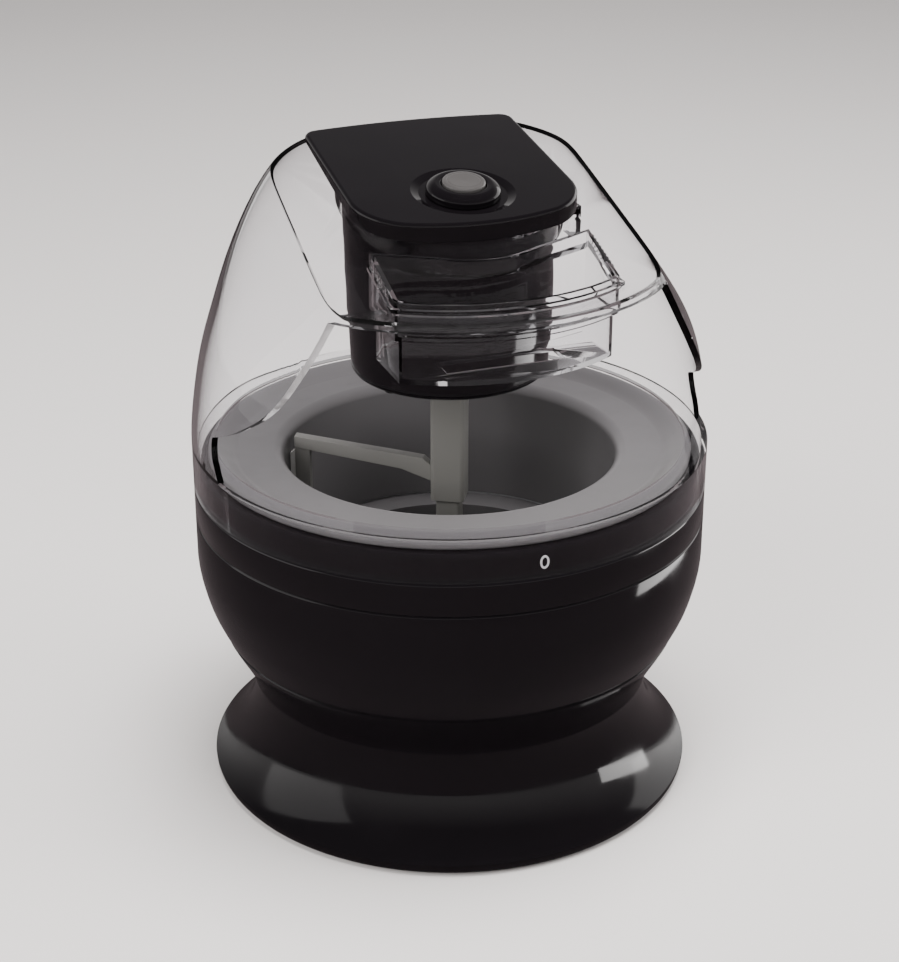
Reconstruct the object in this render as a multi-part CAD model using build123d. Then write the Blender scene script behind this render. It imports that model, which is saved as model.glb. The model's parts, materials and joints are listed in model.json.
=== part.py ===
"""Gel-canister ice cream maker: gloss black pedestal base, two-part freezer canister,
clear domed lid with a drop-in ingredient chute, and a lift-off motor unit that turns a paddle.

Millimetres, +Z up, the machine's round axis on Z, the floor at Z = 0, and the front towards -Y.
"""
from build123d import *
import math
import os

# ---------------------------------------------------------------- driving dimensions
# clearances
RUNNING = 0.05            # shaft in bush, radial
LIFT_GAP = 0.3            # between bodies that lift off each other
SLIDE_GAP = 0.7           # round a body that lifts out of another
SKIRT_GAP = 0.6           # lid's skirt round the collar
BEAD_GAP = 0.4            # lid's ledge above the canister's bead
SCRAPE_GAP = 0.7          # scraper to canister wall

# base
FOOT_R = 112.3            # outer radius of the pedestal near the floor
FOOT_GAP = 1.5            # the shell stands this far off the floor on its rubber feet
FOOT_EDGE = 4.5           # height of the pedestal's rounded edge
WAIST_R = 92.2            # narrowest radius of the pedestal
WAIST_Z = 42.0
SEAM_R = 105.3            # pedestal and bowl shell meet here
SEAM_Z = 74.0
SEAM_DIRECTION = (0.5, 0, 1)  # the outline leans outwards like this at the seam
BOWL_R = 116.0            # widest radius of the bowl shell
BOWL_FULL_Z = 108.0       # height where the bowl shell reaches its full radius
BOWL_TOP_Z = 145.0
SHELL_WALL = 2.6
COLLAR_H = 12.0           # black collar above the bowl shell, inside the lid's skirt
LINER_WALL = 1.6

# lid
LID_WALL = 2.6
LID_R = BOWL_R
LID_RISE = 107.6          # from the lid's ledge up to its deck on the axis
DECK_SLOPE = 0.32         # rise of the deck per mm towards the back
LIP_DROP = 21.0           # the deck levels out this far below its height on the axis
CHEEK_X = 71.0            # where each side facet meets the deck, at its back end
CHEEK_Y = 38.0
DECK_BACK_MARGIN = 5.0    # the deck runs on this far behind the motor's cover

# canister
COLLAR_R = LID_R - LID_WALL - SKIRT_GAP
COLLAR_TOP_Z = BOWL_TOP_Z + COLLAR_H
RIM_INSET = 4.0           # from the collar in to the canister's grey rim
RIM_R = COLLAR_R - RIM_INSET
RIM_H = 6.0
RIM_TOP_Z = COLLAR_TOP_Z + RIM_H
DISH_DEPTH = 4.0          # the flat ring between bead and mouth lies this far below the bead
RIM_DISH_Z = RIM_TOP_Z - DISH_DEPTH
RIM_OVERHANG = 7.3        # the rim stands out past the black wall below it
UPPER_BODY_R = RIM_R - RIM_OVERHANG
UPPER_DEPTH = 58.4        # from the collar's top down to the joint between the halves
SPLIT_Z = COLLAR_TOP_Z - UPPER_DEPTH
MOUTH_R = 75.0            # inner radius of the upper half
NEST_STEP = 13.0          # the lower half is this much smaller, so that it nests in the upper
CUP_R = MOUTH_R - NEST_STEP
CUP_DEPTH = 54.6
CUP_FLOOR_Z = SPLIT_Z - CUP_DEPTH
CUP_BEND = 9.0            # inner radius of the floor corner
GEL_THICKNESS = 7.2
GEL_SLACK = 0.2
CAN_WALL = 1.4

SKIRT_Z = BOWL_TOP_Z + LIFT_GAP
LEDGE_Z = RIM_TOP_Z + BEAD_GAP
LEDGE_T = 2.0
DECK_Z = LEDGE_Z + LID_RISE
LIP_Z = DECK_Z - LIP_DROP

# motor unit
MOTOR_R = 46.5
MOTOR_TAPER = 2.5
MOTOR_LOW_R = MOTOR_R - MOTOR_TAPER
MOTOR_DROP = 77.8         # the can's nose hangs this far below the deck on the axis
MOTOR_NOSE_Z = DECK_Z - MOTOR_DROP
MOTOR_LOW_Z = MOTOR_NOSE_Z + 5.8
MOTOR_WALL = 2.2
COVER_RISE = 12.5         # the cover's top stands this far above the deck on the axis
COVER_Z = DECK_Z + COVER_RISE
COVER_SLOPE = 0.17
COVER_THICKNESS = 5.5     # on the axis; the lower edge slopes more than the top
COVER_EDGE_Z = COVER_Z - COVER_THICKNESS
COVER_EDGE_SLOPE = 0.22
COVER_WALL = 2.4
COVER_MARGIN = 4.0        # the cover stands out this far past the can at the sides
COVER_HALF_W = MOTOR_R + COVER_MARGIN
COVER_CORNER = 16.5       # how far in its front corners begin
COVER_BEND = 29.5         # how far back its sides begin to bend
COVER_TAIL = 9.5          # and this far at the back
COVER_BACK_Y = MOTOR_R + COVER_TAIL
COVER_FRONT_Y = -MOTOR_R
DECK_BACK_Y = COVER_BACK_Y + DECK_BACK_MARGIN
BUTTON_Y = -17.0
BUTTON_R = 9.3
BUTTON_TRAVEL = 2.0
DISH_R = 22.5
BEZEL_R = 16.0
CORD_R = 3.3              # bore of the cord gland
GLAND_R = 5.0
GLAND_REACH = 6.0         # the gland stands out this far behind the cover
GLAND_END_Y = COVER_BACK_Y + GLAND_REACH

# chute
CHUTE_MARGIN = 2.5        # the chute is this much wider than the can at each side
CHUTE_HALF_W = MOTOR_R + CHUTE_MARGIN
CHUTE_BACK_SETBACK = 8.5  # its flanks end this far in front of the can's widest line
THROAT_SETBACK = 12.2     # from the gap round the motor's collar to the throat's middle
CHUTE_FRONT_R = 86.0
CHUTE_DEPTH = 52.0        # its floor lies this far below the deck on the axis
CHUTE_FLOOR_Z = DECK_Z - CHUTE_DEPTH
CHUTE_STEP_H = 19.0       # the walls step out at this height above the floor
CHUTE_STEP_Z = CHUTE_FLOOR_Z + CHUTE_STEP_H
CHUTE_STEP = 2.0
CHUTE_WALL = 1.8
CHUTE_RISE = 6.0          # the chute's rim stands this far above the deck

# paddle and drive
POST_W = 15.5
POST_GAP = 1.7            # below the motor's nose
POST_TOP_Z = MOTOR_NOSE_Z - POST_GAP
SQUARE_W = 9.0            # square end of the output shaft
SOCKET_GAP = 0.35
SOCKET_DEPTH = 16.0
BLADE_T = 4.0
PADDLE_ANGLE = 150.0      # direction of the upper wing
GEAR_MODULE = 0.8
PINION_TEETH = 10
WHEEL_TEETH = 40
LAST_PINION_TEETH = 12
OUTPUT_TEETH = 48
BACKLASH = 0.12


# ---------------------------------------------------------------- small helpers
def at(radius, height):
    """Point of an outline that is turned about Z."""
    return (radius, 0, height)


def turned(*edges):
    """Solid of revolution from the edges of one closed outline."""
    return revolve(make_face(Curve() + list(edges)), Axis.Z)


def turned_poly(*points):
    """Solid of revolution from a closed polygon of (radius, height) points."""
    return turned(Polyline(*[at(r, z) for r, z in points], close=True))


def rod(x, y, z_low, z_high, radius):
    """Upright cylinder."""
    return Pos(x, y, (z_low + z_high) / 2) * Cylinder(radius, z_high - z_low)


def tube(x, y, z_low, z_high, outer, inner):
    """Upright tube."""
    return rod(x, y, z_low, z_high, outer) - rod(x, y, z_low, z_high, inner)


def block(x_low, x_high, y_low, y_high, z_low, z_high):
    """Box between two corners."""
    centre = Pos((x_low + x_high) / 2, (y_low + y_high) / 2, (z_low + z_high) / 2)
    return centre * Box(x_high - x_low, y_high - y_low, z_high - z_low)


def ring_of(count, radius, start_deg):
    """Evenly spaced (x, y) places on a circle."""
    angles = [math.radians(start_deg + i * 360 / count) for i in range(count)]
    return [(radius * math.cos(a), radius * math.sin(a)) for a in angles]


def above_plane(height, slope, floor=None):
    """Everything above z = height + slope * y, and above the level floor where one is given."""
    reach = 400.0
    tilt = math.degrees(math.atan(slope))
    space = Pos(0, 0, height) * Rot(tilt, 0, 0) * Pos(0, 0, reach / 2) * Box(reach, reach, reach)
    if floor is not None:
        space = space & block(-reach, reach, -reach, reach, floor, floor + reach)
    return space


def group(solids):
    """Several separate solids in one node."""
    return Compound(children=list(solids))


NODES = {}


def node(name, shape):
    """Keeps one finished sub-part under its name."""
    NODES[name] = shape
    return shape


# ---------------------------------------------------------------- places shared by base and canister
FLANGE_R = MOUTH_R + 6.0
FLANGE_LOW_Z = SPLIT_Z - CAN_WALL - 0.2
CUP_OUT_R = CUP_R + 2 * CAN_WALL + GEL_THICKNESS
CUP_FOOT_Z = CUP_FLOOR_Z - 2 * CAN_WALL - GEL_THICKNESS
LINER_SHELF_Z = FLANGE_LOW_Z - LIFT_GAP
LINER_UP_R = UPPER_BODY_R + SLIDE_GAP
LINER_LOW_R = CUP_OUT_R + SLIDE_GAP
LINER_FLOOR_Z = CUP_FOOT_Z - LIFT_GAP
UPPER_CHAMFER = 13.0
SEAL_T = 1.0
UPPER_LOW_Z = SPLIT_Z + SEAL_T + LIFT_GAP
UPPER_FOOT_R = FLANGE_R + 2.0
RIM_LIP_Z = COLLAR_TOP_Z + 0.4


# ---------------------------------------------------------------- base
def pedestal_edge(inset):
    """Concave outer line of the pedestal: an arc from the foot to the waist, then up to the seam."""
    foot_z = FOOT_GAP + FOOT_EDGE
    spread = FOOT_R - WAIST_R
    drop = WAIST_Z - foot_z
    radius = (spread ** 2 + drop ** 2) / (2 * spread)
    half_turn = math.asin(drop / radius) / 2
    middle_r = WAIST_R + radius * (1 - math.cos(half_turn))
    middle_z = WAIST_Z - radius * math.sin(half_turn)
    waist = at(WAIST_R - inset, WAIST_Z)
    return [
        ThreePointArc(at(FOOT_R - inset, foot_z), at(middle_r - inset, middle_z), waist),
        Spline(waist, at(SEAM_R - inset, SEAM_Z), tangents=[(0, 0, 1), SEAM_DIRECTION]),
    ]


def bowl_edge(inset):
    """Swelling outer line of the bowl shell from the seam to its top."""
    points = [
        at(SEAM_R - inset, SEAM_Z),
        at(BOWL_R - 3.6 - inset, (SEAM_Z + BOWL_FULL_Z) / 2),
        at(BOWL_R - inset, BOWL_FULL_Z + 4.0),
    ]
    return Spline(*points, tangents=[SEAM_DIRECTION, (0, 0, 1)])


FLANGE_T = 3.0
POST_R = WAIST_R - SHELL_WALL - 4.5    # screw posts run down inside the waist
POSTS = ring_of(4, POST_R, 45)
PLATE_Z = FOOT_GAP + 1.0
PLATE_T = 2.5
PLATE_R = FOOT_R - SHELL_WALL - SLIDE_GAP - 0.1
FLANGE_SCREWS = ring_of(4, SEAM_R - 9.0, 0)


def base_foot():
    """Flared pedestal with an inner flange at the seam and four screw posts."""
    inner = SHELL_WALL
    low = at(FOOT_R - 1.6, FOOT_GAP)
    edge_z = FOOT_GAP + FOOT_EDGE
    shell = turned(
        *pedestal_edge(0),
        Line(at(SEAM_R, SEAM_Z), at(SEAM_R - inner, SEAM_Z)),
        *pedestal_edge(inner),
        Line(at(FOOT_R - inner, edge_z), at(FOOT_R - inner, FOOT_GAP)),
        Line(at(FOOT_R - inner, FOOT_GAP), low),
        Spline(low, at(FOOT_R, edge_z), tangents=[(1, 0, 0.4), (-0.3, 0, 1)]),
    )
    flange = turned_poly(
        (POST_R - 6, SEAM_Z - FLANGE_T), (SEAM_R - inner, SEAM_Z - FLANGE_T),
        (SEAM_R - inner, SEAM_Z), (POST_R - 6, SEAM_Z),
    )
    foot = shell + flange
    for x, y in POSTS:
        foot += rod(x, y, PLATE_Z + PLATE_T, SEAM_Z - FLANGE_T / 2, 5.0)
    for x, y in POSTS:
        foot -= rod(x, y, PLATE_Z, PLATE_Z + 16, 1.7)
    for x, y in FLANGE_SCREWS:
        foot -= rod(x, y, SEAM_Z - 2 * FLANGE_T, SEAM_Z + 1, 2.2)
    return foot


def base_bowl():
    """Bowl shell with a flange at the seam, a shoulder at the top and a fine groove."""
    inner = SHELL_WALL
    full_z = BOWL_FULL_Z + 4.0
    groove_z = BOWL_TOP_Z - 15.0
    shell = turned(
        bowl_edge(0),
        Line(at(BOWL_R, full_z), at(BOWL_R, BOWL_TOP_Z - 1)),
        Line(at(BOWL_R, BOWL_TOP_Z - 1), at(BOWL_R - 1, BOWL_TOP_Z)),
        Line(at(BOWL_R - 1, BOWL_TOP_Z), at(BOWL_R - inner, BOWL_TOP_Z)),
        Line(at(BOWL_R - inner, BOWL_TOP_Z), at(BOWL_R - inner, full_z)),
        bowl_edge(inner),
        Line(at(SEAM_R - inner, SEAM_Z), at(SEAM_R, SEAM_Z)),
    )
    shoulder_r = LINER_UP_R + LINER_WALL + 0.8
    shoulder = turned_poly(
        (shoulder_r, BOWL_TOP_Z - FLANGE_T), (BOWL_R - inner, BOWL_TOP_Z - FLANGE_T),
        (BOWL_R - inner, BOWL_TOP_Z), (shoulder_r, BOWL_TOP_Z),
    )
    flange = turned_poly(
        (POST_R - 6, SEAM_Z), (SEAM_R - inner + 1, SEAM_Z),
        (SEAM_R - 0.2, SEAM_Z + FLANGE_T), (POST_R - 6, SEAM_Z + FLANGE_T),
    )
    bowl = shell + shoulder + flange
    for x, y in FLANGE_SCREWS:
        bowl += rod(x, y, SEAM_Z + FLANGE_T / 2, SEAM_Z + 14, 4.5)
        bowl -= rod(x, y, SEAM_Z - 1, SEAM_Z + 12, 1.5)
    groove = turned_poly(
        (BOWL_R - 0.5, groove_z), (BOWL_R + 1, groove_z - 0.7), (BOWL_R + 1, groove_z + 0.7),
    )
    return bowl - groove


def base_collar():
    """Hollow black collar that carries the canister's rim and guides the lid's skirt."""
    in_r = LINER_UP_R + LINER_WALL
    wall = 2.2
    return turned_poly(
        (in_r, BOWL_TOP_Z + LINER_WALL), (in_r, COLLAR_TOP_Z), (COLLAR_R - 1, COLLAR_TOP_Z),
        (COLLAR_R, COLLAR_TOP_Z - 1), (COLLAR_R, BOWL_TOP_Z), (COLLAR_R - wall, BOWL_TOP_Z),
        (COLLAR_R - wall, COLLAR_TOP_Z - wall), (in_r + wall, COLLAR_TOP_Z - wall),
        (in_r + wall, BOWL_TOP_Z + LINER_WALL),
    )


def base_liner():
    """Stepped bucket inside the base that the canister stands in."""
    t = LINER_WALL
    shelf_r = FLANGE_R + 4.0
    slope_z = LINER_SHELF_Z + UPPER_CHAMFER + 2
    return turned_poly(
        (0, LINER_FLOOR_Z - t), (LINER_LOW_R + t, LINER_FLOOR_Z - t),
        (LINER_LOW_R + t, LINER_SHELF_Z - t), (shelf_r + t, LINER_SHELF_Z - t),
        (LINER_UP_R + t, slope_z - t), (LINER_UP_R + t, BOWL_TOP_Z),
        (LINER_UP_R + t + 5, BOWL_TOP_Z), (LINER_UP_R + t + 5, BOWL_TOP_Z + t),
        (LINER_UP_R, BOWL_TOP_Z + t), (LINER_UP_R, slope_z),
        (shelf_r, LINER_SHELF_Z), (LINER_LOW_R, LINER_SHELF_Z),
        (LINER_LOW_R, LINER_FLOOR_Z), (0, LINER_FLOOR_Z),
    )


RUBBER_R = 8.0
RUBBERS = ring_of(4, FOOT_R - 22, 0)


def base_plate():
    """Round bottom plate with a stiffening ring and holes for screws and feet."""
    plate = rod(0, 0, PLATE_Z, PLATE_Z + PLATE_T, PLATE_R)
    plate += tube(0, 0, PLATE_Z + PLATE_T, PLATE_Z + PLATE_T + 4, 60, 57.5)
    for x, y in POSTS:
        plate -= rod(x, y, PLATE_Z - 1, PLATE_Z + PLATE_T + 1, 2.2)
        plate -= rod(x, y, PLATE_Z - 1, PLATE_Z + 1.2, 4.2)
    for x, y in RUBBERS:
        plate -= rod(x, y, PLATE_Z - 1, PLATE_Z + PLATE_T + 1, 3.0)
    return plate


def rubber_foot(x, y):
    """Rubber foot: a pad below the plate and a button that holds it from inside."""
    top = PLATE_Z + PLATE_T
    pad = rod(x, y, 0, PLATE_Z, RUBBER_R)
    pad = fillet(pad.edges().sort_by(Axis.Z)[0], 0.8)
    return pad + rod(x, y, PLATE_Z, top, 3.0) + rod(x, y, top, top + 1.5, 4.2)


def screw(x, y, z_head, z_tip, shank_r, head_r, head_h):
    """Pan-head screw driven upwards, with a cross recess in its head."""
    body = rod(x, y, z_head, z_head + head_h, head_r)
    body += rod(x, y, z_head + head_h, z_tip, shank_r)
    slot = block(x - head_r * 0.6, x + head_r * 0.6, y - 0.4, y + 0.4, z_head, z_head + 0.8)
    return body - slot - Pos(x, y, 0) * Rot(0, 0, 90) * Pos(-x, -y, 0) * slot


def lock_mark():
    """Small raised oval on the front of the collar, for lining up the lid."""
    outer = Ellipse(2.0, 3.0)
    oval = outer - Ellipse(1.2, 2.1)
    height = (BOWL_TOP_Z + COLLAR_TOP_Z) / 2
    face = Plane(origin=(0, -COLLAR_R - 0.25, height), x_dir=(1, 0, 0), z_dir=(0, -1, 0))
    pin = extrude(face * oval, -1.2)
    return pin - rod(0, 0, BOWL_TOP_Z, COLLAR_TOP_Z, COLLAR_R)


def make_base():
    """All the pieces of the base."""
    node("base_foot", base_foot())
    node("base_bowl", base_bowl())
    node("base_collar", base_collar())
    node("base_liner", base_liner())
    node("base_plate", base_plate())
    node("rubber_feet", group(rubber_foot(x, y) for x, y in RUBBERS))
    plate_screws = [screw(x, y, PLATE_Z - 0.6, PLATE_Z + 14, 1.7, 3.8, 1.8) for x, y in POSTS]
    node("plate_screws", group(plate_screws))
    seam_head = SEAM_Z - FLANGE_T - 2.0
    seam_screws = [screw(x, y, seam_head, SEAM_Z + 11, 1.5, 3.4, 2.0) for x, y in FLANGE_SCREWS]
    node("seam_screws", group(seam_screws))
    node("lock_mark", lock_mark())


# ---------------------------------------------------------------- canister
def cup_corner(outset):
    """Rounded floor corner of the lower half, moved outwards by outset."""
    radius = CUP_BEND + outset
    centre_r = CUP_R - CUP_BEND
    centre_z = CUP_FLOOR_Z + CUP_BEND
    reach = radius * math.sqrt(0.5)
    return ThreePointArc(
        at(centre_r, centre_z - radius), at(centre_r + reach, centre_z - reach),
        at(centre_r + radius, centre_z),
    )


def cup_inner():
    """Inner wall of the lower half, with its rounded floor corner and its flange."""
    t = CAN_WALL
    centre_z = CUP_FLOOR_Z + CUP_BEND
    inside = CUP_R - CUP_BEND
    return turned(
        Line(at(0, CUP_FLOOR_Z), at(inside, CUP_FLOOR_Z)),
        cup_corner(0),
        Polyline(
            at(CUP_R, centre_z), at(CUP_R, SPLIT_Z), at(FLANGE_R, SPLIT_Z), at(FLANGE_R, FLANGE_LOW_Z),
            at(CUP_R + t, FLANGE_LOW_Z), at(CUP_R + t, centre_z),
        ),
        cup_corner(t),
        Polyline(at(inside, CUP_FLOOR_Z - t), at(0, CUP_FLOOR_Z - t), at(0, CUP_FLOOR_Z)),
    )


def cup_outer():
    """Outer wall of the lower half."""
    t = CAN_WALL
    top = FLANGE_LOW_Z
    return turned_poly(
        (0, CUP_FOOT_Z), (CUP_OUT_R - 4, CUP_FOOT_Z), (CUP_OUT_R, CUP_FOOT_Z + 4),
        (CUP_OUT_R, top), (CUP_OUT_R - t, top), (CUP_OUT_R - t, CUP_FOOT_Z + 4.6),
        (CUP_OUT_R - 4.6, CUP_FOOT_Z + t), (0, CUP_FOOT_Z + t),
    )


def cup_gel():
    """Freezing gel sealed between the two walls of the lower half."""
    gap = CAN_WALL + GEL_SLACK
    top = FLANGE_LOW_Z - 2.0
    in_r = CUP_R + gap
    out_r = CUP_OUT_R - gap
    low = CUP_FOOT_Z + gap
    inside = CUP_R - CUP_BEND
    return turned(
        cup_corner(gap),
        Polyline(
            at(in_r, CUP_FLOOR_Z + CUP_BEND), at(in_r, top), at(out_r, top), at(out_r, low + 4),
            at(out_r - 4, low), at(0, low), at(0, CUP_FLOOR_Z - gap), at(inside, CUP_FLOOR_Z - gap),
        ),
    )


def canister_seal():
    """Soft ring on the flange, between the two halves."""
    return tube(0, 0, SPLIT_Z, SPLIT_Z + SEAL_T, FLANGE_R - 0.8, MOUTH_R + 1.0)


def upper_rim():
    """Grey liner of the upper half: mouth wall, dished rim, bead and outer lip."""
    t = CAN_WALL
    edge = 5.0
    arc = edge * (1 - math.sqrt(0.5))
    bead_in = RIM_R - 9.0
    bead_top = RIM_R - 3.8
    return turned(
        Line(at(MOUTH_R, UPPER_LOW_Z), at(MOUTH_R, RIM_DISH_Z - edge)),
        ThreePointArc(
            at(MOUTH_R, RIM_DISH_Z - edge), at(MOUTH_R + arc, RIM_DISH_Z - arc),
            at(MOUTH_R + edge, RIM_DISH_Z),
        ),
        Line(at(MOUTH_R + edge, RIM_DISH_Z), at(bead_in, RIM_DISH_Z - 0.4)),
        Spline(
            at(bead_in, RIM_DISH_Z - 0.4), at(bead_top, RIM_TOP_Z), tangents=[(1, 0, 0), (1, 0, 0)],
        ),
        Spline(
            at(bead_top, RIM_TOP_Z), at(RIM_R, RIM_LIP_Z + 2.2), tangents=[(1, 0, 0), (0, 0, -1)],
        ),
        Polyline(
            at(RIM_R, RIM_LIP_Z + 2.2), at(RIM_R - 0.6, RIM_LIP_Z), at(RIM_R - 1.8, RIM_LIP_Z),
            at(UPPER_BODY_R - t, RIM_LIP_Z), at(MOUTH_R + t + edge, RIM_LIP_Z),
            at(MOUTH_R + t, RIM_LIP_Z - edge), at(MOUTH_R + t, UPPER_LOW_Z), at(MOUTH_R, UPPER_LOW_Z),
        ),
    )


def upper_wall():
    """Black outer wall and foot of the upper half."""
    t = CAN_WALL
    top = RIM_LIP_Z
    start = MOUTH_R + t
    return turned_poly(
        (start, UPPER_LOW_Z), (UPPER_FOOT_R, UPPER_LOW_Z),
        (UPPER_BODY_R, UPPER_LOW_Z + UPPER_CHAMFER), (UPPER_BODY_R, top), (UPPER_BODY_R - t, top),
        (UPPER_BODY_R - t, UPPER_LOW_Z + UPPER_CHAMFER + 0.6),
        (UPPER_FOOT_R - 0.6, UPPER_LOW_Z + t), (start, UPPER_LOW_Z + t),
    )


def upper_gel():
    """Freezing gel sealed inside the upper half."""
    gap = CAN_WALL + GEL_SLACK
    top = RIM_LIP_Z - 6.5
    in_r = MOUTH_R + gap
    out_r = UPPER_BODY_R - gap
    low = UPPER_LOW_Z + gap
    return turned_poly(
        (in_r, low), (UPPER_FOOT_R - 1.2, low), (out_r, UPPER_LOW_Z + UPPER_CHAMFER + 1.2),
        (out_r, top), (in_r, top),
    )


def make_canister():
    """Both halves of the canister."""
    node("cup_inner", cup_inner())
    node("cup_outer", cup_outer())
    node("cup_gel", cup_gel())
    node("canister_seal", canister_seal())
    node("upper_rim", upper_rim())
    node("upper_wall", upper_wall())
    node("upper_gel", upper_gel())


# ---------------------------------------------------------------- lid
# the dome's outline: how far in from the skirt, and how far up as a share of the lid's rise
DOME = [(1.6, 0.191), (5.8, 0.405), (12.0, 0.6), (19.2, 0.805), (27.6, 0.991), (35.5, 1.112), (44.0, 1.195)]


def dome_solid(inset):
    """The lid's full round form before its facets, drawn in by the wall where inset is given."""
    sink = inset * 0.3
    skirt_top = LEDGE_Z + LEDGE_T
    points = [at(LID_R - inset, skirt_top)]
    points += [at(LID_R - inward - inset, LEDGE_Z + LID_RISE * rise - sink) for inward, rise in DOME]
    top = points[-1]
    low = SKIRT_Z - (5 if inset else 0)
    return turned(
        Line(at(LID_R - inset, low), points[0]),
        Spline(*points, tangents=[(0, 0, 1), (-0.75, 0, 0.66)]),
        Polyline(top, (0, 0, top[2]), (0, 0, low), at(LID_R - inset, low)),
    )


def facet(x, y, z, normal):
    """Everything beyond a slanting plane through a point."""
    reach = 300.0
    plane = Plane(origin=(x, y, z), z_dir=normal)
    return extrude(plane * Rectangle(2 * reach, 2 * reach), reach)


def lid_form(inset):
    """Dome cut by the deck, the two cheeks and the back facet."""
    deck_drop = inset * math.sqrt(1 + DECK_SLOPE ** 2)
    deck_at_back = DECK_Z + DECK_SLOPE * DECK_BACK_Y
    deck_at_cheek = DECK_Z + DECK_SLOPE * CHEEK_Y
    form = dome_solid(inset)
    form -= above_plane(DECK_Z - deck_drop, DECK_SLOPE, LIP_Z - inset)
    for side in (-1, 1):
        normal = Vector(side, -0.201, 0.722).normalized()
        point = Vector(side * CHEEK_X, CHEEK_Y, deck_at_cheek) - normal * inset
        form -= facet(point.X, point.Y, point.Z, normal)
    back = Vector(0, 1, 1.2).normalized()
    point = Vector(0, DECK_BACK_Y, deck_at_back) - back * inset
    form -= facet(point.X, point.Y, point.Z, back)
    return form


def ridge_edges(form):
    """Edges round the deck, where the facets and the dome meet it."""
    picked = []
    for edge in form.edges():
        middle = edge @ 0.5
        if middle.Z > LIP_Z - 4 and math.hypot(middle.X, middle.Y) > 55:
            picked.append(edge)
    return picked


def window_cut():
    """Front opening: its side edge falls from the deck's lip and sweeps back to the skirt."""
    low = LEDGE_Z + LEDGE_T
    top = LIP_Z - 4.0
    reach = -LID_R - 20

    def rise(share):
        return LEDGE_Z + LID_RISE * share

    edge_top = (-62.5, top)
    edge_end = (-17, rise(0.191))
    side = Plane.YZ
    outline = [
        side * Spline(edge_top, (-60, rise(0.591)), (-52.5, rise(0.405)), (-36, rise(0.275)), edge_end),
        side * Polyline(edge_end, (-14.5, rise(0.136)), (-20, rise(0.08)), (-24, low),
                        (reach, low), (reach, top), edge_top),
    ]
    return extrude(make_face(Curve() + outline), LID_R + 20, both=True)


COLLAR_IN_R = MOTOR_R + SLIDE_GAP
COLLAR_OUT_R = COLLAR_IN_R + 2.2
CHUTE_GAP = 0.9           # between the chute and the lid's motor collar
GLAND_Z = COVER_EDGE_Z + 2.6


def chute_outline(grow):
    """Plan of the chute: motor side, straight flanks and a front concentric with the axis."""
    half = CHUTE_HALF_W + grow
    front = CHUTE_FRONT_R + grow
    inner_r = COLLAR_OUT_R + CHUTE_GAP - grow
    corner_y = -math.sqrt(front ** 2 - half ** 2)
    back_y = grow - MOTOR_R + CHUTE_BACK_SETBACK
    waist_x = 20.0
    waist_y = -math.sqrt(inner_r ** 2 - waist_x ** 2)
    return make_face(
        Curve() + [
            Line((half, back_y), (waist_x, waist_y)),
            ThreePointArc((waist_x, waist_y), (0, -inner_r), (-waist_x, waist_y)),
            Line((-waist_x, waist_y), (-half, back_y)),
            Line((-half, back_y), (-half, corner_y)),
            ThreePointArc((-half, corner_y), (0, -front), (half, corner_y)),
            Line((half, corner_y), (half, back_y)),
        ]
    )


def lid_shell():
    """Clear lid: thin faceted dome, skirt, ledge, motor collar, chute hole and front window."""
    outer = lid_form(0)
    outer = fillet(ridge_edges(outer), 2.2)
    shell = outer - lid_form(LID_WALL)
    shell += tube(0, 0, LEDGE_Z, LEDGE_Z + LEDGE_T, LID_R - LID_WALL / 2, RIM_R - 3.0)
    collar = tube(0, 0, LIP_Z - 4, COVER_Z, COLLAR_OUT_R, COLLAR_IN_R)
    collar -= above_plane(COVER_EDGE_Z - LIFT_GAP, COVER_EDGE_SLOPE)
    below_deck = above_plane(DECK_Z - LID_WALL, DECK_SLOPE)
    collar = collar & below_deck
    shell += collar
    tab = block(COLLAR_IN_R + 1, COLLAR_OUT_R + 3.4, -20, -13, LIP_Z, COVER_EDGE_Z - 8)
    shell += tab & below_deck
    shell -= rod(0, 0, LIP_Z - 30, COVER_Z + 20, COLLAR_IN_R)
    shell -= Pos(0, 0, LIP_Z - 40) * extrude(chute_outline(SLIDE_GAP), 80)
    shell -= window_cut()
    notch_w = GLAND_R + SLIDE_GAP
    shell -= block(-notch_w, notch_w, COLLAR_IN_R - 2, 110, GLAND_Z, COVER_Z + 30)
    gland_path = Plane(origin=(0, COLLAR_IN_R - 2, GLAND_Z), z_dir=(0, 1, 0))
    return shell - extrude(gland_path * Circle(notch_w), 60)


# ---------------------------------------------------------------- chute
def chute():
    """Clear ingredient chute: stepped walls, a sloping rim, a floor with a throat and a rest lip."""
    above_rim = above_plane(DECK_Z + CHUTE_RISE, DECK_SLOPE, LIP_Z + 4.0)
    height = 90.0
    body = Pos(0, 0, CHUTE_STEP_Z) * extrude(chute_outline(0), height)
    body += Pos(0, 0, CHUTE_FLOOR_Z) * extrude(chute_outline(-CHUTE_STEP), CHUTE_STEP_Z - CHUTE_FLOOR_Z)
    lip = Pos(0, 0, LIP_Z - 4) * extrude(chute_outline(2.0), height)
    lip &= above_plane(DECK_Z + LIFT_GAP, DECK_SLOPE, LIP_Z + LIFT_GAP)
    lip -= above_plane(DECK_Z + LIFT_GAP + 1.8, DECK_SLOPE, LIP_Z + LIFT_GAP + 1.7)
    lip &= block(-200, 200, -200, -55, 0, 400)
    body += lip
    wall_in = CHUTE_WALL
    hollow = Pos(0, 0, CHUTE_STEP_Z + 1.5) * extrude(chute_outline(-wall_in), height)
    hollow += Pos(0, 0, CHUTE_FLOOR_Z + wall_in) * extrude(
        chute_outline(-CHUTE_STEP - wall_in), CHUTE_STEP_Z - CHUTE_FLOOR_Z)
    throat_y = -(COLLAR_OUT_R + CHUTE_GAP + THROAT_SETBACK)
    throat = Pos(0, throat_y, CHUTE_FLOOR_Z) * Box(52, 13, 12)
    return body - hollow - above_rim - throat


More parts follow.
